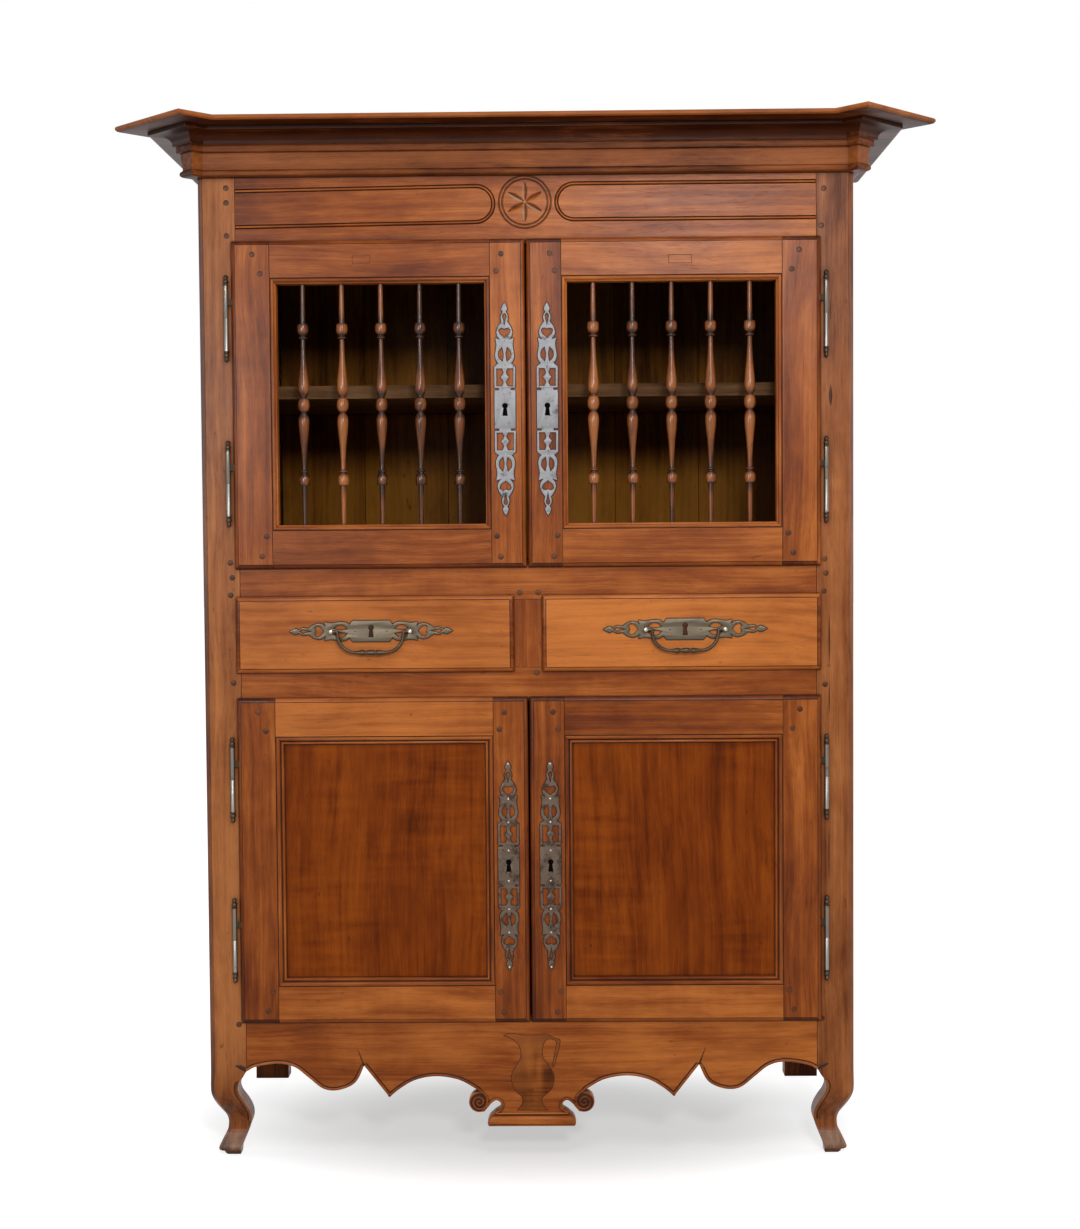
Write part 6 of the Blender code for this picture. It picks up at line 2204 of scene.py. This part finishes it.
for door in doors:
    bench = Bench(f"{door.name}_hinge_barrels")
    for middle in door.hinges:
        place = Matrix.Translation((door.side * HINGE_X, HINGE_Y, middle))
        bench.board("z")
        bench.turn(TUBE_SHAPE, place, 20)
        bench.board("z", finish=2)
        leaf_low = middle + (BARREL_END - LEAF_HEIGHT) / 2
        xs = sorted((door.side * (door.x1 - LEAF_SEAT), door.side * (HINGE_X - BARREL * LEAF_REACH)))
        y0 = HINGE_Y - LEAF_THICKNESS / 2
        bench.block((xs[0], y0, leaf_low), (xs[1], y0 + LEAF_THICKNESS, leaf_low + LEAF_HEIGHT))
        bench.board("z", finish=1)
        bench.turn([(radius, BARREL_END + out) for out, radius in FINIAL_SHAPE], place, 20)
    bench.piece(door.body, [hinge_iron, finial_iron, leaf_iron], bevel=0)

# %% [markdown]
# Pegs hold every joint. Each is a bit of split oak driven through, trimmed almost flush, with a dark ring
# where the hole has opened. Dots in the wood's finish would be flat, and a peg stands a hair proud and
# catches the light, so each is a small turned head over a dark disc.

# %% Pegs
PEG_RADIUS = 0.0050
PEG_HOLE = PEG_RADIUS + 0.0007
PEG_SINK = 0.001
PEG_HOLE_LIFT = 0.0001
PEG_HEAD = ((1.0, -PEG_SINK), (1.0, 0.0002), (0.9, 0.0004), (0.4, 0.0005))  # share of the radius, height
peg_wood = wood(
    "peg_wood", paint(122, 72, 38), paint(90, 50, 26), paint(58, 30, 14), DIRT_AND_SHADE, paint(132, 82, 48), rubbed=0.2
)


def peg(bench, x, z, face):
    place = Matrix.Translation((x, face, z)) @ FACING
    bench.board("y", finish=1)
    bench.turn([(PEG_HOLE, -PEG_SINK), (PEG_HOLE, PEG_HOLE_LIFT)], place, 20)
    bench.board("y", finish=0)
    bench.turn([(share * PEG_RADIUS, height) for share, height in PEG_HEAD], place, 20)


POST_PEGS = {  # out from the middle, height
    "left": (
        (0.592, 1.9466),
        (0.592, 1.9176),
        (0.592, 1.8527),
        (0.5935, 1.2045),
        (0.590, 1.1748),
        (0.5937, 1.1398),
        (0.590, 0.964),
        (0.5894, 0.2737),
    ),
    "right": (
        (0.590, 1.935),
        (0.5855, 1.8626),
        (0.591, 1.2042),
        (0.5934, 1.176),
        (0.5896, 1.1402),
        (0.5915, 0.954),
        (0.5846, 0.2814),
    ),
}
LOCK_STILE_PEGS = (  # from the stile's inner edge to the lock, then up from the foot or down from the top
    (0.022, -0.030),
    (0.012, -0.064),
    (0.017, 0.021),
    (0.010, 0.0625),
)
HINGE_STILE_PEGS = (  # the same, to the hinge
    (0.033, -0.027),
    (0.018, -0.065),
    (0.0205, 0.025),
    (0.011, 0.0645),
)
RAIL_PEGS = ((-0.0165, 1.141), (0.0207, 1.141), (0.0167, 0.981))
bench = Bench("post_pegs")
for word, places in POST_PEGS.items():
    for x, z in places:
        peg(bench, SIDES[word] * x, z, FRONT)
for x, z in RAIL_PEGS:
    peg(bench, x, z, FRONT)
bench.piece("carcass", [peg_wood, inlay_line], bevel=0)
for door in doors:
    bench = Bench(f"{door.name}_pegs")
    places = [(door.mx0 - out, rise) for out, rise in LOCK_STILE_PEGS]
    places += [(door.mx1 + out, rise) for out, rise in HINGE_STILE_PEGS]
    for x, rise in places:
        peg(bench, door.side * x, rise + (door.z0 if rise > 0 else door.z1), DOOR_FACE)
    bench.piece(door.body, [peg_wood, inlay_line], bevel=0)

# %% [markdown]
# The right post has dried and opened in a few thin cracks beside its hinges, and old hinge seats were
# filled there. They could be cut as the frieze is, but nobody sees to the bottom of a crack. So each is a
# dark line that tapers at both ends, laid just into the face.

# %% Cracks
CRACKS = (  # x, top, bottom, half width
    (0.6032, 1.719, 1.677, 0.0009),
    (0.6032, 1.549, 1.507, 0.0030),
    (0.6000, 1.096, 0.990, 0.0013),
    (0.6000, 0.962, 0.894, 0.0011),
    (0.5990, 0.669, 0.562, 0.0010),
)
CRACK_TIP = 0.0002
bench = Bench("post_cracks")
for x, top, bottom, half_width in CRACKS:
    bench.board("z")
    thirds = [top + (bottom - top) * i / 3 for i in range(4)]
    widths = (CRACK_TIP, half_width, half_width, CRACK_TIP)
    scored(bench, 1, [(x, z, width) for z, width in zip(thirds, widths)])
bench.piece("carcass", [inlay_line], bevel=0)
